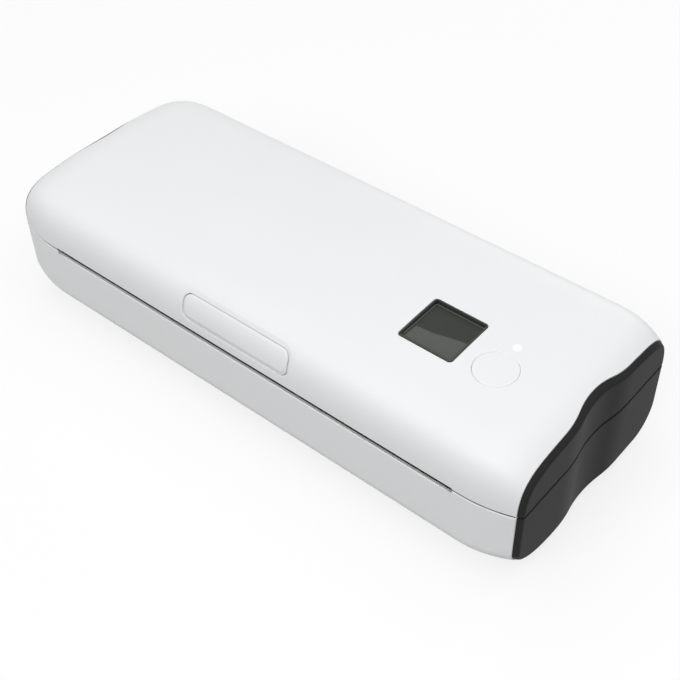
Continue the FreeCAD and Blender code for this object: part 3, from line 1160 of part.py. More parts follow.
board_plate = slab("board_plate", "Z", ("board_left", "board_right"), ("board_front", "board_rear"),
                   ("board_low", "board_low + board_thick"), "board_corner")
BOARD_TOP = "(board_low + board_thick)"
chips = []
CHIP_SHARES = ((0.22, 0.6, 0.05, 0.25), (0.42, 0.55, 0.035, 0.2), (0.58, 0.6, 0.05, 0.25))
for number, (share_x, share_y, long_share, wide_share) in enumerate(CHIP_SHARES, start=1):
    middle_x = "(board_left + (board_right - board_left) * %s)" % share_x
    middle_y = "(board_front + (board_rear - board_front) * %s)" % share_y
    chips.append(box("chip_%d" % number, spread(middle_x, "(board_right - board_left) * %s" % long_share),
                     spread(middle_y, "(board_rear - board_front) * %s" % wide_share),
                     ("board_low + board_thick / 2", BOARD_TOP + " + chip_tall")))
board_solid = fuse("board_solid", board_plate, *chips)
piece("main_board", cut("board_form", board_solid, *board_bores))

usb_shell = slab("usb_shell", "Y", spread("usb_x", "usb_wide / 2"), USB_Z,
                 ("board_rear - usb_long / 2", REAR + " - wall / 2"), "usb_corner")
usb_mouth = slab("usb_mouth", "Y", spread("usb_x", "usb_wide / 2 - usb_wall"),
                 (USB_Z[0] + " + usb_wall", USB_Z[1] + " - usb_wall"),
                 ("board_rear - usb_long / 2 + usb_wall", REAR), "usb_corner - usb_wall")
usb_tongue = box("usb_tongue", spread("usb_x", "usb_wide / 4"),
                 ("board_rear - usb_long / 2", REAR + " - wall"),
                 spread("(board_low + board_thick + usb_tall / 2)", "usb_wall"))
piece("charging_socket", fuse("usb_form", cut("usb_body", usb_shell, usb_mouth), usb_tongue))


# Check and export

doc.recompute()
for thing in doc.Objects:
    if "Invalid" in thing.State or "Error" in thing.State:
        raise RuntimeError("%s failed: %s" % (thing.Label, thing.State))
os.makedirs("parts", exist_ok=True)
for thing in PIECES:
    if thing.Shape.isNull() or not thing.Shape.isValid():
        raise RuntimeError("%s has no valid shape" % thing.Label)
for thing in PIECES:
    thing.Shape.exportStep("parts/%s.step" % thing.Label)
    print(thing.Label, len(thing.Shape.Solids), round(thing.Shape.Volume, 1))
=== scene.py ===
import math
import bpy
import bmesh
from mathutils import Matrix, Vector


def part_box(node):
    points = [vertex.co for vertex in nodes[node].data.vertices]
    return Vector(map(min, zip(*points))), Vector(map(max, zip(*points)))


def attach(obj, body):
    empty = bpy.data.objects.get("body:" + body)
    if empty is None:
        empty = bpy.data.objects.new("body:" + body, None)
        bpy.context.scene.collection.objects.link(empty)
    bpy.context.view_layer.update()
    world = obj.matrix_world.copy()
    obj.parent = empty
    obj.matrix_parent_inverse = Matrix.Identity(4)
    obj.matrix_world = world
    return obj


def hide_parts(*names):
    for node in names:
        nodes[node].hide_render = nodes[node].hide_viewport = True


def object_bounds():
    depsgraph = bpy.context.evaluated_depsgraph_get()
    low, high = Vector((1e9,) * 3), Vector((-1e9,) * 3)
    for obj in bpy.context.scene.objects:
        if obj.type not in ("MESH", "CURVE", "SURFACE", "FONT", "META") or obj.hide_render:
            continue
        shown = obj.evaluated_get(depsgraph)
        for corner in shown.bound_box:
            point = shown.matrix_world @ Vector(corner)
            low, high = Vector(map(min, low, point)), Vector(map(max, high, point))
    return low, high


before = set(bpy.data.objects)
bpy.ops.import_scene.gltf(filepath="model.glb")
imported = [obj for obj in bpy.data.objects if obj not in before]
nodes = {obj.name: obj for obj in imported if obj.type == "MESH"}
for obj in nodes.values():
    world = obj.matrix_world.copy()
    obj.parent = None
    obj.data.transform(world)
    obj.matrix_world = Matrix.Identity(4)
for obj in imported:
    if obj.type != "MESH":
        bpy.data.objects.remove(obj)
cad_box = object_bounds()
MM = 0.001

# Camera
# It stands to the right of the printer's front, above it, and looks down at it. Its place,
# turn and lens come from the photograph's two families of parallel edges.
CAMERA_PLACE = Vector((264.515, -292.910, 388.469)) * MM
CAMERA_AZIMUTH = math.radians(41.036)
CAMERA_ELEVATION = math.radians(44.010)
CAMERA_ROLL = math.radians(1.562)
CAMERA_LENS = 63.58
CAMERA_SENSOR = 36.0
camera = bpy.data.objects.new("camera", bpy.data.cameras.new("camera"))
camera.data.lens = CAMERA_LENS
camera.data.sensor_width = CAMERA_SENSOR
back = Vector((math.sin(CAMERA_AZIMUTH) * math.cos(CAMERA_ELEVATION),
               -math.cos(CAMERA_AZIMUTH) * math.cos(CAMERA_ELEVATION),
               math.sin(CAMERA_ELEVATION)))
right = Vector((math.cos(CAMERA_AZIMUTH), math.sin(CAMERA_AZIMUTH), 0))
down = -back.cross(right)
rolled_right = right * math.cos(CAMERA_ROLL) + down * math.sin(CAMERA_ROLL)
rolled_down = down * math.cos(CAMERA_ROLL) - right * math.sin(CAMERA_ROLL)
turn = Matrix((rolled_right, -rolled_down, back)).transposed()
camera.matrix_world = Matrix.Translation(CAMERA_PLACE) @ turn.to_4x4()
bpy.context.scene.collection.objects.link(camera)
bpy.context.scene.camera = camera


# Base shell
# The lower half of the housing: one white moulding with an even, finely eroded surface.
# Its front edge is lowered along the paper slit, and its posts carry all that is inside.

class Tone:
    """A value that varies over a surface; arithmetic on it adds Math nodes."""

    def __init__(self, tree, socket):
        self.tree = tree
        self.socket = socket

    def worked(self, operation, first, second):
        node = self.tree.nodes.new("ShaderNodeMath")
        node.operation = operation
        for place, value in zip(node.inputs, (first, second)):
            if isinstance(value, Tone):
                self.tree.links.new(value.socket, place)
            else:
                place.default_value = value
        return Tone(self.tree, node.outputs[0])

    def __add__(self, other):
        return self.worked("ADD", self, other)

    def __sub__(self, other):
        return self.worked("SUBTRACT", self, other)

    def __mul__(self, other):
        return self.worked("MULTIPLY", self, other)

    def __rsub__(self, other):
        return self.worked("SUBTRACT", other, self)

    def __lt__(self, other):
        return self.worked("LESS_THAN", self, other)

    def __gt__(self, other):
        return self.worked("GREATER_THAN", self, other)

    def __abs__(self):
        return self.worked("ABSOLUTE", self, 0)

    __radd__ = __add__
    __rmul__ = __mul__


def named(sockets, name):
    """The socket with an identifier, or else with a name."""
    matches = [socket for socket in sockets if name == socket.identifier]
    matches += [socket for socket in sockets if name == socket.name.replace(" ", "_")]
    return matches[0]


class Nodes:
    """A node tree, and the one way in which nodes are added to it."""

    def __init__(self, tree):
        self.tree = tree

    def node(self, kind, settings=None, out=None, **inputs):
        """Add a node: its settings first, then the values or links of its sockets."""
        node = self.tree.nodes.new(kind)
        for name, value in (settings or {}).items():
            setattr(node, name, value)
        for name, value in inputs.items():
            place = named(node.inputs, name)
            if isinstance(value, Tone):
                self.tree.links.new(value.socket, place)
            else:
                place.default_value = value
        return Tone(self.tree, named(node.outputs, out) if out else node.outputs[0])


class Finish(Nodes):
    """One surface finish: a Principled shader and the nodes that vary it."""

    def __init__(self, name, **constants):
        self.material = bpy.data.materials.new(name)
        self.material.use_nodes = True
        super().__init__(self.material.node_tree)
        self.shader = self.tree.nodes["Principled BSDF"]
        for socket, value in constants.items():
            self.shader.inputs[socket.replace("_", " ")].default_value = value

    def place(self):
        """Where a point lies on the object, in metres."""
        return self.node("ShaderNodeTexCoord", out="Object")

    def axis(self, name):
        """One coordinate of that place."""
        return self.node("ShaderNodeSeparateXYZ", out=name, Vector=self.place())

    def stretched(self, x, y, z):
        """The place, drawn out along some axes, for brushed and ground surfaces."""
        return self.node("ShaderNodeVectorMath", {"operation": "MULTIPLY"},
                         Vector=self.place(), Vector_001=(x, y, z))

    def noise(self, grain, detail=2.0, where=None):
        """Noise whose features are about as wide as the grain."""
        return self.node("ShaderNodeTexNoise", out="Fac", Vector=where or self.place(),
                         Scale=1 / grain, Detail=detail)

    def blend(self, share, first, second):
        """A colour between two others."""
        return self.node("ShaderNodeMix", {"data_type": "RGBA"}, out="Result_Color",
                         Factor_Float=share, A_Color=first, B_Color=second)

    def feed(self, socket, tone):
        """Link a tone to a socket of the shader."""
        self.tree.links.new(tone.socket, self.shader.inputs[socket])

    def bump(self, height, depth, strength=1.0):
        """Raise the surface by a height of so many metres."""
        self.feed("Normal", self.node("ShaderNodeBump", out="Normal", Height=height,
                                      Distance=depth, Strength=strength))


def dress(finish, *names):
    """Give CAD nodes their finish."""
    for name in names:
        mesh = nodes[name].data
        mesh.materials.clear()
        mesh.materials.append(finish.material)


def shade(colour, factor):
    """The same colour, lighter or darker."""
    return tuple(part * factor for part in colour[:3]) + (1.0,)


GRAIN = 0.5 * MM
GRAIN_DEPTH = 0.006 * MM
GRAIN_DETAIL = 3.0
FLOW = 45 * MM


def moulded(name, colour, roughness, grain=GRAIN, depth=GRAIN_DEPTH, uneven=0.03, sheen=0.5):
    """Moulded plastic: an eroded grain, slow changes of tone and of gloss."""
    finish = Finish(name, Specular_IOR_Level=sheen)
    slow = finish.noise(FLOW, GRAIN_DETAIL)
    fine = finish.noise(grain, GRAIN_DETAIL)
    finish.feed("Base Color", finish.blend(slow, shade(colour, 1 - uneven), shade(colour, 1 + uneven)))
    finish.feed("Roughness", roughness - 0.05 + slow * 0.06 + fine * 0.04)
    finish.bump(fine, depth)
    return finish


WHITE = (0.855, 0.862, 0.870)
WHITE_ROUGH = 0.48
WHITE_UNEVEN = 0.012
shell_white = moulded("shell_white", WHITE, WHITE_ROUGH, uneven=WHITE_UNEVEN)
SLIT_DROP = 0.85 * MM
SLIT_WELL = 3.0 * MM
SLIT_DEPTH = 4.5 * MM
RIM_DROP = 0.6 * MM
RIM_FALL = 2.0 * MM
RIM_ROUND = 0.46 * MM
TOUCH = 0.005 * MM
SLIT_ENDS = 0.06 * MM
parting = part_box("right_base_cap")[1].z
strip_low, strip_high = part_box("tear_bar")
slit_half = strip_high.x + SLIT_ENDS
slit_top = strip_high.z


def placed(name, mesh, finish, body, node):
    """Put a mesh in a CAD node's place, on the body that carries it."""
    mesh.materials.clear()
    mesh.materials.append(finish.material)
    piece = bpy.data.objects.new(name, mesh)
    bpy.context.scene.collection.objects.link(piece)
    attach(piece, body)
    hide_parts(node)
    return piece


def reshaped(name, node, finish, body, move):
    """A piece with a CAD node's form, whose points are moved a little."""
    mesh = nodes[node].data.copy()
    mesh.name = name
    for vert in mesh.vertices:
        vert.co = move(vert.co.copy())
    return placed(name, mesh, finish, body, node)


def spot(point):
    """A point as a key, whatever the last digit says."""
    return tuple(round(part / TOUCH) for part in point)


base_mesh = nodes["base_shell"].data
round_spots = set()
for edge in base_mesh.edges:
    ends = [base_mesh.vertices[index].co for index in edge.vertices]
    if any(parting - RIM_ROUND < end.z < parting - TOUCH for end in ends):
        round_spots |= {spot(end) for end in ends}


def base_move(point):
    """The slit's edge sinks, open behind the tear bar; the rim sinks and falls inwards."""
    in_slit = abs(point.x) < slit_half and point.y < strip_low.y + SLIT_DEPTH
    if in_slit and slit_top - RIM_ROUND < point.z < slit_top + TOUCH:
        point.z -= SLIT_WELL if point.y > strip_high.y + TOUCH else SLIT_DROP
    elif parting - RIM_ROUND < point.z < parting + TOUCH:
        point.z -= RIM_DROP if spot(point) in round_spots else RIM_DROP + RIM_FALL
    return point


reshaped("base_housing", "base_shell", shell_white, "base", base_move)


# End caps
# Four charcoal mouldings pushed over the ends of the shells, a cover and a base half at each
# end. They are satin, and their grain is a little coarser than the shells'.
CHARCOAL = (0.028, 0.0287, 0.0275)
cap_charcoal = moulded("cap_charcoal", CHARCOAL, 0.42, grain=0.6 * MM, depth=0.01 * MM,
                       uneven=0.12, sheen=0.03)
CAP_REVEAL = 0.3 * MM
CAP_ROUND = 0.25 * MM
CAP_DROP = 0.8 * MM


def cap_move(point):
    """Each cap lies a little inside the white shell, and the base's caps sink with its rim."""
    point.y *= 1 - CAP_REVEAL / cad_box[1].y
    reach = cad_box[1].z - parting if point.z > parting + TOUCH else parting - cad_box[0].z
    sunk = parting - CAP_ROUND < point.z < parting + TOUCH
    point.z = parting + (point.z - parting) * (1 - CAP_REVEAL / reach) - (CAP_DROP if sunk else 0)
    return point


for side in ("left", "right"):
    for level in ("cover", "base"):
        reshaped("%s_%s_end" % (side, level), "%s_%s_cap" % (side, level), cap_charcoal, level,
                 cap_move)


# Feet
# Four dark rubber discs pressed into recesses of the underside. Each is turned in mesh code
# from the foot's own solid: a rounded rim, and a shallow moulded ring on the face it stands on.
WELD = 0.001 * MM


def solids_of(name):
    """Lowest and highest corner of each separate solid of a CAD node."""
    shape = bmesh.new()
    shape.from_mesh(nodes[name].data)
    bmesh.ops.remove_doubles(shape, verts=shape.verts, dist=WELD)
    waiting = set(shape.verts)
    boxes = []
    while waiting:
        found = {waiting.pop()}
        edge = list(found)
        while edge:
            vert = edge.pop()
            near = {link.other_vert(vert) for link in vert.link_edges} - found
            found |= near
            edge += near
        waiting -= found
        low = Vector([min(vert.co[axis] for vert in found) for axis in range(3)])
        high = Vector([max(vert.co[axis] for vert in found) for axis in range(3)])
        boxes.append((low, high))
    shape.free()
    return sorted(boxes, key=lambda pair: tuple(round(part, 5) for part in pair[0]))


def ring_of(shape, radius, steps, height):
    """One level ring of points about the origin, or a single point where it has no radius."""
    if radius == 0:
        return [shape.verts.new((0, 0, height(0)))]
    angles = [math.tau * step / steps for step in range(steps)]
    return [shape.verts.new((radius * math.cos(angle), radius * math.sin(angle), height(angle)))
            for angle in angles]


def turned_rings(shape, profile, steps):
    """Rings of a turned form; the profile is (radius, height) pairs."""
    return [ring_of(shape, radius, steps, lambda angle: height) for radius, height in profile]


def skinned(shape, rings, steps):
    """Faces from each ring to the next; a ring of one point closes the form like a fan."""
    for lower, upper in zip(rings, rings[1:]):
        for step in range(steps):
            after = (step + 1) % steps
            corners = [lower[step % len(lower)], lower[after % len(lower)],
                       upper[after % len(upper)], upper[step % len(upper)]]
            corners = [corner for place, corner in enumerate(corners) if corner not in corners[:place]]
            shape.faces.new(corners)


def moved(rings, place, sign=1):
    """Bring rings from the origin to their place, turned over where the sign is -1."""
    for ring in rings:
        for vert in ring:
            vert.co = place + Vector((vert.co.x, vert.co.y, vert.co.z * sign))


def made(name, shape, finish, body, node, smooth=40):
    """Turn a finished mesh into a piece in a CAD node's place."""
    bmesh.ops.recalc_face_normals(shape, faces=shape.faces)
    mesh = bpy.data.meshes.new(name)
    shape.to_mesh(mesh)
    shape.free()
    mesh.shade_smooth()
    mesh.set_sharp_from_angle(angle=math.radians(smooth))
    return placed(name, mesh, finish, body, node)


FOOT_RIM = 0.35 * MM
FOOT_RING = (0.62, 0.78)
FOOT_GROOVE = 0.25 * MM
FOOT_STEPS = 48
foot_rubber = moulded("foot_rubber", (0.028, 0.028, 0.030), 0.72, grain=0.8 * MM, depth=0.03 * MM,
                      uneven=0.1)
feet = bmesh.new()
for low, high in solids_of("rubber_feet"):
    radius = (high.x - low.x) / 2
    tall = high.z - low.z
    centre = Vector(((low.x + high.x) / 2, (low.y + high.y) / 2, low.z))
    inner, outer = (radius * share for share in FOOT_RING)
    profile = [(0, FOOT_GROOVE), (inner - FOOT_GROOVE, FOOT_GROOVE), (inner, 0), (outer, 0),
               (outer + FOOT_GROOVE / 2, FOOT_GROOVE / 2), (radius - FOOT_RIM, FOOT_GROOVE / 2),
               (radius - FOOT_RIM * 0.3, FOOT_RIM * 0.7), (radius, FOOT_RIM * 1.6),
               (radius, tall), (0, tall)]
    rings = turned_rings(feet, profile, FOOT_STEPS)
    moved(rings, centre)
    skinned(feet, rings, FOOT_STEPS)
made("foot_set", feet, foot_rubber, "base", "rubber_feet")


# Battery cells
# Two steel cans that lie end to end in the cradle of the base. Each is sleeved in thin blue
# shrink wrap, which keeps fine wrinkles across the can.
CELL_WRAP = (0.030, 0.085, 0.115)
cell_wrap = Finish("cell_wrap")
wrinkles = cell_wrap.noise(5 * MM, 2.0, cell_wrap.stretched(0.2, 1, 1))
cell_wrap.feed("Base Color", cell_wrap.blend(wrinkles, shade(CELL_WRAP, 0.85), shade(CELL_WRAP, 1.15)))
cell_wrap.feed("Roughness", 0.22 + wrinkles * 0.16)
cell_wrap.bump(wrinkles, 0.12 * MM)
dress(cell_wrap, "battery_cells")


# Main board
# A glass-fibre board under green solder resist, with its chips, on four posts of the base.
# The tracks under the resist and the tinned vias are drawn in the material.
WEAVE = 0.4 * MM
TRACK_FIELD = 9 * MM
VIA_APART = 3.4 * MM
VIA_SIZE = 0.11


def board_finish(name):
    """Solder resist over a glass weave, with tracks under it and tinned vias."""
    finish = Finish(name)
    weave = finish.noise(WEAVE, 1.0)
    tracks = finish.node("ShaderNodeTexBrick", {"offset": 0.37, "squash": 0.6, "squash_frequency": 3},
                         out="Fac", Vector=finish.place(), Scale=1 / TRACK_FIELD, Mortar_Size=0.03,
                         Brick_Width=1.7, Row_Height=0.32)
    vias = finish.node("ShaderNodeTexVoronoi", out="Distance", Vector=finish.stretched(1, 1, 0),
                       Scale=1 / VIA_APART) < VIA_SIZE
    green = finish.blend(tracks, (0.012, 0.062, 0.030, 1), (0.020, 0.115, 0.050, 1))
    copper = finish.blend(vias, green, (0.55, 0.53, 0.50, 1))
    finish.feed("Base Color", finish.blend(weave * 0.2, copper, (0.03, 0.10, 0.05, 1)))
    finish.feed("Metallic", vias * 0.9)
    finish.feed("Roughness", 0.34 + weave * 0.12)
    finish.bump(tracks + weave * 0.2, 0.03 * MM)
    return finish


board_green = board_finish("board_green")
dress(board_green, "main_board")


# Charging socket
# A drawn steel shell with a contact tongue inside. It is soldered to the rear edge of the main
# board, and opens through the base's rear wall.
MARK_WIDE = 0.25 * MM
MARK_DEEP = 0.003 * MM
GLOSS_PATCH = 14 * MM


def metal(name, colour, roughness, along=(0.04, 1, 1), grain=MARK_WIDE, depth=MARK_DEEP):
    """Worked metal: fine marks drawn out along one axis, and uneven gloss."""
    finish = Finish(name, Metallic=1.0)
    marks = finish.noise(grain, 3.0, finish.stretched(*along))
    slow = finish.noise(GLOSS_PATCH)
    finish.feed("Base Color", finish.blend(slow, shade(colour, 0.93), shade(colour, 1.05)))
    finish.feed("Roughness", roughness - 0.08 + marks * 0.12 + slow * 0.06)
    finish.bump(marks, depth)
    return finish


STEEL = (0.60, 0.59, 0.57)
socket_steel = metal("socket_steel", STEEL, 0.26, along=(1, 0.05, 1))
dress(socket_steel, "charging_socket")


# Paper tray and inner frame
# Two dark mouldings of glass-filled plastic, screwed to the base's posts: the half-round
# trough for the roll, and the deck with the cheeks that carry head, axle and motor.
FRAME_DARK = (0.032, 0.033, 0.035)
frame_black = moulded("frame_black", FRAME_DARK, 0.5, grain=0.7 * MM, depth=0.02 * MM, uneven=0.1)
tray_black = moulded("tray_black", shade(FRAME_DARK, 1.15), 0.46, grain=0.9 * MM, depth=0.02 * MM,
                     uneven=0.1)
dress(frame_black, "inner_frame")
dress(tray_black, "paper_tray")


# Screws
# Zinc-plated pan-head screws with a cross recess. Each is built in mesh code in the place of
# its CAD solid: a domed head with the recess pressed in, and a shank with its thread.
HEAD_TALL = 0.58
DOME_SHARE = 0.42
DOME_POWER = 2.6
RECESS_SHARE = 0.62
RECESS_HALF = 0.24
RECESS_DEEP = 0.75
RECESS_WALL = 0.1
RECESS_TAPER = 0.55
HEAD_RINGS = 14
HEAD_STEPS = 64
SHANK_SHARE = 0.52
THREAD_ROOT = 0.8
THREAD_PITCH = 0.8 * MM
screw_zinc = metal("screw_zinc", (0.66, 0.65, 0.62), 0.3, along=(1, 1, 1), grain=0.3 * MM)


def head_height(radius, angle, wide, tall):
    """Height of a screw head's top at a point: a dome with a tapered cross pressed in."""
    share = radius / wide
    dome = tall * (1 - DOME_SHARE * share ** DOME_POWER)
    along = radius * max(abs(math.cos(angle)), abs(math.sin(angle)))
    across = radius * min(abs(math.cos(angle)), abs(math.sin(angle)))
    slot = min(1, max(0, (wide * RECESS_HALF - across) / (wide * RECESS_WALL)))
    reach = wide * RECESS_SHARE
    taper = min(1, max(0, (reach - along) / (reach * RECESS_TAPER)))
    return dome - tall * RECESS_DEEP * slot * taper


def screws(name, node, body, head_up):
    """All screws of one node, with heads up or down."""
    shape = bmesh.new()
    for low, high in solids_of(node):
        wide = (high.x - low.x) / 2
        tall = wide * HEAD_TALL
        thin = wide * SHANK_SHARE
        depth = high.z - low.z
        rings = []
        for number in range(HEAD_RINGS + 1):
            radius = wide * number / HEAD_RINGS
            rings.append(ring_of(shape, radius, HEAD_STEPS,
                                 lambda angle: head_height(radius, angle, wide, tall) - tall))
        profile = [(wide, -tall), (thin, -tall)]
        for number in range(int((depth - tall) / THREAD_PITCH) * 2):
            profile.append((thin * (1.0 if number % 2 else THREAD_ROOT),
                            -tall - (number + 0.5) * THREAD_PITCH / 2))
        profile.append((0, -depth))
        rings += turned_rings(shape, profile, HEAD_STEPS)
        top = Vector(((low.x + high.x) / 2, (low.y + high.y) / 2, high.z if head_up else low.z))
        moved(rings, top, 1 if head_up else -1)
        skinned(shape, rings, HEAD_STEPS)
    made(name, shape, screw_zinc, body, node, smooth=35)


screws("frame_screw_set", "frame_screws", "base", head_up=True)
screws("board_screw_set", "main_board_screws", "base", head_up=True)


# Drive train
# A stepper motor with a brass pinion turns the double reduction gear on its steel axle, and
# that turns the platen gear. The gears are white acetal, hobbed smooth and slightly waxy.
can_steel = metal("can_steel", (0.52, 0.52, 0.51), 0.34, along=(0.05, 1, 1))
pinion_brass = metal("pinion_brass", (0.80, 0.60, 0.28), 0.25, along=(0.1, 1, 1))
axle_steel = metal("axle_steel", STEEL, 0.2, along=(1, 0.1, 0.1))
gear_acetal = moulded("gear_acetal", (0.80, 0.79, 0.75), 0.36, grain=1.2 * MM, depth=0.01 * MM,
                      uneven=0.02)
dress(can_steel, "drive_motor")
dress(pinion_brass, "motor_pinion")
dress(axle_steel, "gear_axle")
dress(gear_acetal, "reduction_gear", "platen_gear")


# Print head
# A ceramic strip with a glazed heater line and resin over its drivers, glued to an aluminium
# bracket that tips on a steel rod. Gold tracks run from the heater line to the drivers.
HEATER_HALF = 0.9 * MM
TRACK_PITCH = 0.6 * MM
RESIN_WIDE = 2.1 * MM
platen_low, platen_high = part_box("platen_rubber")
heater_y = (platen_low.y + platen_high.y) / 2
resin_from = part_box("print_head")[1].y - RESIN_WIDE
head_ceramic = Finish("head_ceramic")
across = head_ceramic.axis("Y")
along = head_ceramic.axis("X")
grain = head_ceramic.noise(0.5 * MM)
glaze = abs(across - heater_y) < HEATER_HALF
resin = across > resin_from
tracks = head_ceramic.node("ShaderNodeMath", {"operation": "PINGPONG"}, Value=along,
                           Value_001=TRACK_PITCH / 2) < TRACK_PITCH * 0.2
tracks = tracks * (across > heater_y + HEATER_HALF)
ceramic = head_ceramic.blend(grain, (0.60, 0.58, 0.53, 1), (0.68, 0.66, 0.61, 1))
ceramic = head_ceramic.blend(tracks, ceramic, (0.62, 0.42, 0.16, 1))
ceramic = head_ceramic.blend(glaze, ceramic, (0.10, 0.045, 0.02, 1))
head_ceramic.feed("Base Color", head_ceramic.blend(resin, ceramic, (0.015, 0.015, 0.016, 1)))
head_ceramic.feed("Metallic", tracks * (1 - resin) * 0.8)
head_ceramic.feed("Roughness", 0.42 - glaze * 0.3 - resin * 0.12 + grain * 0.08)
head_ceramic.bump(grain * 0.3 + tracks, 0.012 * MM)
dress(head_ceramic, "print_head")
bracket_aluminium = metal("bracket_aluminium", (0.72, 0.73, 0.74), 0.36, along=(0.03, 1, 1),
                          depth=0.006 * MM)
dress(bracket_aluminium, "head_bracket")
dress(axle_steel, "head_pivot_rod")


# Head springs
# Four compression springs of music wire push the head up against the platen. Each is wound
# in mesh code, with closed and ground end turns, in the place of its CAD sleeve.
SPRING_WIRE = 0.32 * MM
SPRING_TURNS = 6
WIRE_SIDES = 10
TURN_STEPS = 28
spring_steel = metal("spring_steel", (0.50, 0.50, 0.50), 0.3, along=(1, 1, 1))


def wound(shape, low, high):
    """Add one coil spring that fills a box."""
    radius = (high.x - low.x) / 2 - SPRING_WIRE
    centre = Vector(((low.x + high.x) / 2, (low.y + high.y) / 2, 0))
    rise = (high.z - low.z) - 6 * SPRING_WIRE
    rings = []
    for step in range(SPRING_TURNS * TURN_STEPS + 1):
        turn_share = step / TURN_STEPS
        free = min(1, max(0, (turn_share - 1) / (SPRING_TURNS - 2)))
        closed = min(turn_share, 1) + max(0, turn_share - SPRING_TURNS + 1)
        height = Vector((0, 0, low.z + SPRING_WIRE + closed * 2 * SPRING_WIRE + free * rise))
        angle = math.tau * turn_share
        outward = Vector((math.cos(angle), math.sin(angle), 0))
        ring = []
        for side in range(WIRE_SIDES):
            lean = math.tau * side / WIRE_SIDES
            offset = outward * (math.cos(lean) * SPRING_WIRE) + Vector((0, 0, math.sin(lean) * SPRING_WIRE))
            ring.append(shape.verts.new(centre + outward * radius + height + offset))
        rings.append(ring)
    skinned(shape, rings, WIRE_SIDES)
    shape.faces.new(rings[0])
    shape.faces.new(rings[-1][::-1])


coils = bmesh.new()
for low, high in solids_of("head_springs"):
    wound(coils, low, high)
made("head_coils", coils, spring_steel, "base", "head_springs", smooth=60)


# Paper sensor
# A small reflective sensor cast in black resin and let into the deck. It sees the paper
# through two clear domes, which are drawn in the material.
EYE_APART = 2.2 * MM
EYE_RADIUS = 1.2 * MM
sensor_low, sensor_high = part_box("paper_sensor")
sensor_middle = (sensor_low + sensor_high) / 2
sensor_resin = Finish("sensor_resin")


def sensor_eye(side):
    """1 within one of the two domes."""
    dome = (sensor_middle.x + side * EYE_APART, sensor_middle.y, sensor_high.z)
    away = sensor_resin.node("ShaderNodeVectorMath", {"operation": "DISTANCE"}, out="Value",
                             Vector=sensor_resin.place(), Vector_001=dome)
    return away < EYE_RADIUS


eyes = sensor_eye(-1) + sensor_eye(1)
sensor_grain = sensor_resin.noise(0.5 * MM)
sensor_resin.feed("Base Color", sensor_resin.blend(eyes, (0.02, 0.02, 0.022, 1),
                                                   (0.10, 0.018, 0.012, 1)))
sensor_resin.feed("Roughness", 0.5 - eyes * 0.4 + sensor_grain * 0.08)
sensor_resin.bump(sensor_grain, 0.01 * MM)
dress(sensor_resin, "paper_sensor")


# Tear bar
# A strip of pale grey plastic with fine moulded teeth, pressed into the base's front edge
# under the slit. It lies as low as the edge that carries it. Its grey is partly the strip's own
# tone and partly painted shade, for the shade that the cover's lip casts on it.
# Painted shade: the strip's grey is darker than the white mouldings, partly to stand for the shade under
# the cover's lip.
tear_grey = moulded("tear_grey", (0.66, 0.67, 0.67), 0.5, grain=0.4 * MM, uneven=0.05)
reshaped("tear_strip", "tear_bar", tear_grey, "base",
         lambda point: point - Vector((0, 0, SLIT_DROP)))


# Hinge pins
# Two ground steel pins at the rear. They are pushed through the knuckles of the base and the
# bead of the cover, one at each end.
dress(axle_steel, "hinge_pins")


# Cover shell
# The upper half of the housing, the same white moulding as the base. Round the hole for the
# release button its outer edge is softly rounded off, which the bump draws out further.
PAD_CORNER = 4.0 * MM
PAD_GAP = 0.3 * MM
PAD_FOOT = 6.5 * MM
PAD_TALL = 11.5 * MM
PAD_EDGE = 1.3 * MM
PAD_SOFT = 0.32 * MM
pad_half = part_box("release_button")[1].x
pad_middle = parting + PAD_FOOT + PAD_TALL / 2


def pad_distance(finish):
    """How far a point lies outside the outline of the release button, seen from the front."""
    x = abs(finish.axis("X")) - (pad_half - PAD_CORNER)
    z = abs(finish.axis("Z") - pad_middle) - (PAD_TALL / 2 - PAD_CORNER)
    x_out = x.worked("MAXIMUM", x, 0)
    z_out = z.worked("MAXIMUM", z, 0)
    outside = x.worked("POWER", x_out * x_out + z_out * z_out, 0.5)
    inside = x.worked("MINIMUM", x.worked("MAXIMUM", x, z), 0)
    return outside + inside - PAD_CORNER


def soft_edge(finish, start, end, rise):
    """White plastic that is rounded off towards the release button's outline."""
    fine = finish.noise(GRAIN, GRAIN_DETAIL)
    front = finish.axis("Y") < 0
    slope = finish.node("ShaderNodeMapRange", {"interpolation_type": "SMOOTHSTEP"},
                        Value=pad_distance(finish), From_Min=start, From_Max=end,
                        To_Min=0.0, To_Max=rise)
    finish.bump(fine * GRAIN_DEPTH - (rise - slope) * front, 1.0)


cover_white = moulded("cover_white", WHITE, WHITE_ROUGH, uneven=WHITE_UNEVEN)
soft_edge(cover_white, PAD_GAP, PAD_GAP + PAD_EDGE, PAD_SOFT)
dress(cover_white, "cover_shell")


# Window
# A black moulded bezel lines the well in the cover with a thin wall. A pane of smoked acrylic
# closes it from below: it stands up a little within the bezel, and its edge is bevelled. The bevel
# and the sides of the raised part are a lighter grey than the pane: a painted highlight.
WINDOW_HALF = 12.9 * MM
BEZEL_WALL = 0.9 * MM
BEZEL_WIDER = 0.4 * MM
bezel_black = moulded("bezel_black", (0.034, 0.036, 0.033), 0.38, depth=0.008 * MM, uneven=0.1)
bezel_low, bezel_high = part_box("window_bezel")
bezel_middle = (bezel_low + bezel_high) / 2
bezel_inner = WINDOW_HALF - BEZEL_WALL


def bezel_move(point):
    """The bezel's wall is thinned from inside, so that it shows as a fine dark edge."""
    aside = max(abs(point.x - bezel_middle.x), abs(point.y - bezel_middle.y))
    if aside < bezel_inner + TOUCH:
        point.x += (point.x - bezel_middle.x) / bezel_inner * BEZEL_WIDER
        point.y += (point.y - bezel_middle.y) / bezel_inner * BEZEL_WIDER
    return point


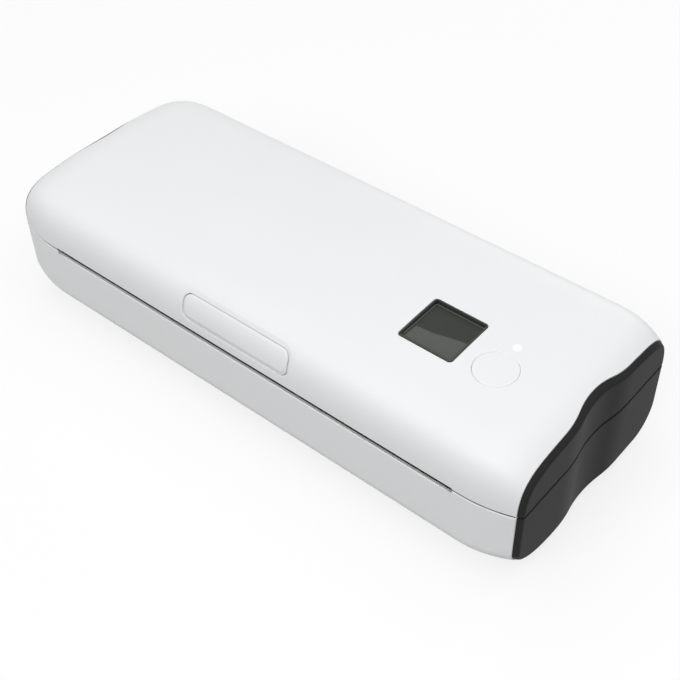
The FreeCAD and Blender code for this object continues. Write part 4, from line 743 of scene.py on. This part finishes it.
reshaped("window_frame", "window_bezel", bezel_black, "cover", bezel_move)
lens_smoked = Finish("lens_smoked", Specular_IOR_Level=0.5)
haze = lens_smoked.noise(9 * MM, 4.0)
lens_smoked.feed("Base Color", lens_smoked.blend(haze, (0.050, 0.054, 0.047, 1), (0.056, 0.060, 0.053, 1)))
lens_smoked.feed("Roughness", 0.004 + haze * 0.012)
PANE_INSET = 2.1 * MM
PANE_PROUD = 0.3 * MM
PANE_RISE = 0.1 * MM
PANE_EDGE = 0.5 * MM
PANE_CORNER = 1.2 * MM
CORNER_STEPS = 8
LEVEL = 0.99
lens_low, lens_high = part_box("window_lens")
lens_centre = (lens_low + lens_high) / 2
lens_half = (lens_high.x - lens_low.x) / 2


def squared_ring(shape, half, corner, height):
    """One ring of points round a square with rounded corners."""
    ring = []
    for quarter in range(4):
        for step in range(CORNER_STEPS + 1):
            angle = math.tau * (quarter + step / CORNER_STEPS) / 4
            middle = math.tau * (quarter + 0.5) / 4
            corner_x = math.copysign(half - corner, math.cos(middle))
            corner_y = math.copysign(half - corner, math.sin(middle))
            ring.append(shape.verts.new((lens_centre.x + corner_x + corner * math.cos(angle),
                                         lens_centre.y + corner_y + corner * math.sin(angle), height)))
    return ring


pane = bmesh.new()
pane_half = lens_half - PANE_INSET
pane_top = lens_high.z + PANE_PROUD
rings = [squared_ring(pane, lens_half, PANE_CORNER, lens_low.z),
         squared_ring(pane, lens_half, PANE_CORNER, lens_high.z),
         squared_ring(pane, pane_half, PANE_CORNER, lens_high.z),
         squared_ring(pane, pane_half, PANE_CORNER, pane_top - PANE_RISE),
         squared_ring(pane, pane_half - PANE_EDGE, PANE_CORNER - PANE_EDGE, pane_top)]
skinned(pane, rings, len(rings[0]))
pane.faces.new(rings[0][::-1])
pane.faces.new(rings[-1])
lens_pane = made("lens_pane", pane, lens_smoked, "cover", "window_lens", smooth=20)
# Painted highlight: the pane's bevel and raised sides get a lighter grey that stands for light catching the
# edge.
lens_edge = moulded("lens_edge", (0.24, 0.25, 0.23), 0.3, grain=0.3 * MM, uneven=0.05)
lens_pane.data.materials.append(lens_edge.material)
for face in lens_pane.data.polygons:
    if face.center.z > lens_high.z + TOUCH and face.normal.z < LEVEL:
        face.material_index = 1


# Power button and status lamp
# A round white button that clicks on the key board under it, and a clear rod that carries the
# light of a chip to the top. The rod is frosted at its end and glows faintly.
BUTTON_SWELL = 0.13 * MM
BUTTON_CROWN = 1.5 * MM
LAMP_CORE = 0.3
button_low, button_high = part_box("power_button")
button_middle = (button_low + button_high) / 2
button_radius = (button_high.x - button_low.x) / 2


def button_move(point):
    """The button's crown fills its hole with an even hair line round it."""
    if point.z > button_high.z - BUTTON_CROWN:
        point.x += (point.x - button_middle.x) / button_radius * BUTTON_SWELL
        point.y += (point.y - button_middle.y) / button_radius * BUTTON_SWELL
    return point


reshaped("power_key", "power_button", shell_white, "power", button_move)
lamp_frosted = Finish("lamp_frosted", Emission_Strength=0.12)
frost = lamp_frosted.noise(0.4 * MM)
frosted = lamp_frosted.blend(frost, (0.88, 0.89, 0.90, 1), (0.93, 0.94, 0.95, 1))
lamp_frosted.feed("Base Color", frosted)
lamp_low, lamp_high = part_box("lamp_light_pipe")
lamp_middle = (lamp_low + lamp_high) / 2
lamp_radius = (lamp_high.x - lamp_low.x) / 2
aside = lamp_frosted.node("ShaderNodeVectorMath", {"operation": "DISTANCE"}, out="Value",
                          Vector=lamp_frosted.place(),
                          Vector_001=(lamp_middle.x, lamp_middle.y, lamp_high.z))
glow_share = lamp_frosted.node("ShaderNodeMapRange", {"interpolation_type": "SMOOTHSTEP"},
                               Value=aside, From_Min=lamp_radius * LAMP_CORE, From_Max=lamp_radius,
                               To_Min=1.0, To_Max=0.0)
lamp_frosted.feed("Emission Color", lamp_frosted.blend(glow_share, (0, 0, 0, 1), (0.95, 0.98, 1, 1)))
lamp_frosted.feed("Roughness", 0.25 + frost * 0.15)
dress(lamp_frosted, "lamp_light_pipe")
key_green = board_finish("key_green")
dress(key_green, "key_board")
screws("key_screw_set", "key_board_screws", "cover", head_up=False)


# Release button and latch bar
# The wide pad in the cover's front rounding is moulded with two arms, which push the dark
# latch bar and its hooks.
pad_white = moulded("pad_white", WHITE, WHITE_ROUGH, uneven=WHITE_UNEVEN)
soft_edge(pad_white, -PAD_EDGE, 0, -PAD_SOFT)
dress(pad_white, "release_button")
latch_black = moulded("latch_black", FRAME_DARK, 0.45, grain=0.8 * MM, depth=0.012 * MM, uneven=0.1)
dress(latch_black, "latch_bar")


# Platen
# A rubber roller, ground round on its steel shaft, presses the paper on the head. The shaft
# runs in two acetal bushes, held by brackets that are pressed from steel sheet.
platen_rubber = Finish("platen_rubber")
ground = platen_rubber.noise(0.35 * MM, 3.0, platen_rubber.stretched(1, 0.15, 0.15))
platen_rubber.feed("Base Color", platen_rubber.blend(ground, (0.020, 0.020, 0.021, 1),
                                                     (0.036, 0.036, 0.038, 1)))
platen_rubber.feed("Roughness", 0.62 + ground * 0.15)
platen_rubber.bump(ground, 0.02 * MM)
dress(platen_rubber, "platen_rubber")
dress(axle_steel, "platen_shaft")
sheet_steel = metal("sheet_steel", (0.58, 0.58, 0.57), 0.36, along=(1, 1, 0.05))
dress(sheet_steel, "left_platen_bracket", "right_platen_bracket")
bush_acetal = moulded("bush_acetal", (0.05, 0.05, 0.055), 0.4, grain=1.0 * MM, depth=0.01 * MM,
                      uneven=0.1)
dress(bush_acetal, "platen_bushes")


# Floor
# A plain white sheet that takes the printer's shadow. To the camera and in gloss it brightens
# with distance, until it is as white as the world behind it.
FLOOR_HALF = 4.0
FLOOR_WHITE = (0.97, 0.97, 0.97, 1)
FLOOR_BOUNCE = (0.33, 0.33, 0.33, 1)
FLOOR_GLOW = 0.75
FLOOR_NEAR = 0.3
FLOOR_FAR = 1.2


def staged(name, corners, finish):
    """A flat sheet of the studio."""
    shape = bmesh.new()
    shape.faces.new([shape.verts.new(corner) for corner in corners])
    mesh = bpy.data.meshes.new(name)
    shape.to_mesh(mesh)
    shape.free()
    mesh.materials.append(finish.material)
    sheet = bpy.data.objects.new(name, mesh)
    bpy.context.scene.collection.objects.link(sheet)
    return sheet


def background_rays(tree):
    """1 for the rays that show the background: seen by the camera, in gloss or through glass."""
    rays = [tree.node("ShaderNodeLightPath", out=kind)
            for kind in ("Is_Camera_Ray", "Is_Glossy_Ray", "Is_Transmission_Ray")]
    return rays[0] + rays[1] + rays[2]


floor_sheet = Finish("floor_sheet", Roughness=0.9, Specular_IOR_Level=0.0)
seen = background_rays(floor_sheet)
floor_sheet.feed("Base Color", floor_sheet.blend(seen, FLOOR_BOUNCE, FLOOR_WHITE))
glow = floor_sheet.node("ShaderNodeEmission", Color=(1, 1, 1, 1), Strength=1.0)
plain = Tone(floor_sheet.tree, floor_sheet.shader.outputs[0])
reach = floor_sheet.node("ShaderNodeVectorMath", {"operation": "LENGTH"}, out="Value",
                         Vector=floor_sheet.place())
far = floor_sheet.node("ShaderNodeMapRange", Value=reach, From_Min=FLOOR_NEAR, From_Max=FLOOR_FAR,
                       To_Min=FLOOR_GLOW, To_Max=1.0)
mixed = floor_sheet.node("ShaderNodeMixShader", Fac=seen * far, Shader=plain, Shader_001=glow)
floor_out = floor_sheet.tree.nodes["Material Output"]
floor_sheet.tree.links.new(mixed.socket, floor_out.inputs["Surface"])
floor_corners = [(x * FLOOR_HALF, y * FLOOR_HALF, 0) for x, y in ((-1, -1), (1, -1), (1, 1), (-1, 1))]
staged("floor", floor_corners, floor_sheet)


# Light
# A wide soft lamp hangs overhead, and its rear edge shows as a tone across the smoked lens.
# Two weaker ones stand in front and behind, and a weak sky and a dim ceiling fill in.
SKY = 0.14
WHITE_LIGHT = (1, 1, 1, 1)
world = bpy.data.worlds.new("studio")
bpy.context.scene.world = world
world.use_nodes = True
sky = Nodes(world.node_tree)
strength = sky.node("ShaderNodeMix", out="Result_Float", Factor_Float=background_rays(sky),
                    A_Float=SKY, B_Float=1.0)
background = sky.tree.nodes["Background"]
background.inputs["Color"].default_value = WHITE_LIGHT
sky.tree.links.new(strength.socket, background.inputs["Strength"])


def soft_lamp(name, place, size, power, aim):
    """A rectangular soft lamp at a place, facing a point."""
    light = bpy.data.lights.new(name, "AREA")
    light.shape = "RECTANGLE"
    light.size, light.size_y = size
    light.energy = power
    lamp = bpy.data.objects.new(name, light)
    lamp.location = place
    lamp.rotation_euler = (place - aim).to_track_quat("Z", "Y").to_euler()
    bpy.context.scene.collection.objects.link(lamp)
    return lamp


OVERHEAD_HIGH = 1.2
OVERHEAD_SIZE = (2.0, 2.8)
OVERHEAD_POWER = 19.4
OVERHEAD_TURN = math.radians(16.5)
OVERHEAD_EDGE = Vector((-0.606, 0.968, OVERHEAD_HIGH))
OVERHEAD_ALONG = 0.55
turned_along = Vector((math.cos(OVERHEAD_TURN), math.sin(OVERHEAD_TURN), 0))
turned_deep = Vector((-math.sin(OVERHEAD_TURN), math.cos(OVERHEAD_TURN), 0))
overhead_place = OVERHEAD_EDGE + turned_along * OVERHEAD_ALONG - turned_deep * OVERHEAD_SIZE[1] / 2
straight_down = overhead_place - Vector((0, 0, 1))
overhead = soft_lamp("overhead", overhead_place, OVERHEAD_SIZE, OVERHEAD_POWER, straight_down)
overhead.rotation_euler = (0, 0, OVERHEAD_TURN)

FRONT_PLACE = Vector((0.1, -1.3, 1.1))
FRONT_SIZE = (1.2, 0.9)
FRONT_POWER = 11.5
FRONT_AIM = Vector((0, 0, 0.05))
soft_lamp("front", FRONT_PLACE, FRONT_SIZE, FRONT_POWER, FRONT_AIM)

REAR_PLACE = Vector((-0.2, 1.9, 0.55))
REAR_SIZE = (1.6, 0.8)
REAR_POWER = 9.0
REAR_AIM = Vector((0, 0, 0.03))
soft_lamp("rear", REAR_PLACE, REAR_SIZE, REAR_POWER, REAR_AIM)

CEILING_RISE = 0.3
CEILING_ALONG = (-2.0, 2.6)
CEILING_DEEP = (-3.4, 2.6)
ceiling_dim = Finish("ceiling_dim", Base_Color=(0, 0, 0, 1), Specular_IOR_Level=0.0,
                     Emission_Color=WHITE_LIGHT, Emission_Strength=SKY)
ceiling_edge = OVERHEAD_EDGE + Vector((0, 0, CEILING_RISE))
ceiling_corners = [ceiling_edge + turned_along * CEILING_ALONG[x] + turned_deep * CEILING_DEEP[y]
                   for x, y in ((0, 0), (1, 0), (1, 1), (0, 1))]
ceiling = staged("ceiling", ceiling_corners, ceiling_dim)
ceiling.visible_camera = False


bpy.context.scene.view_settings.view_transform = "Standard"
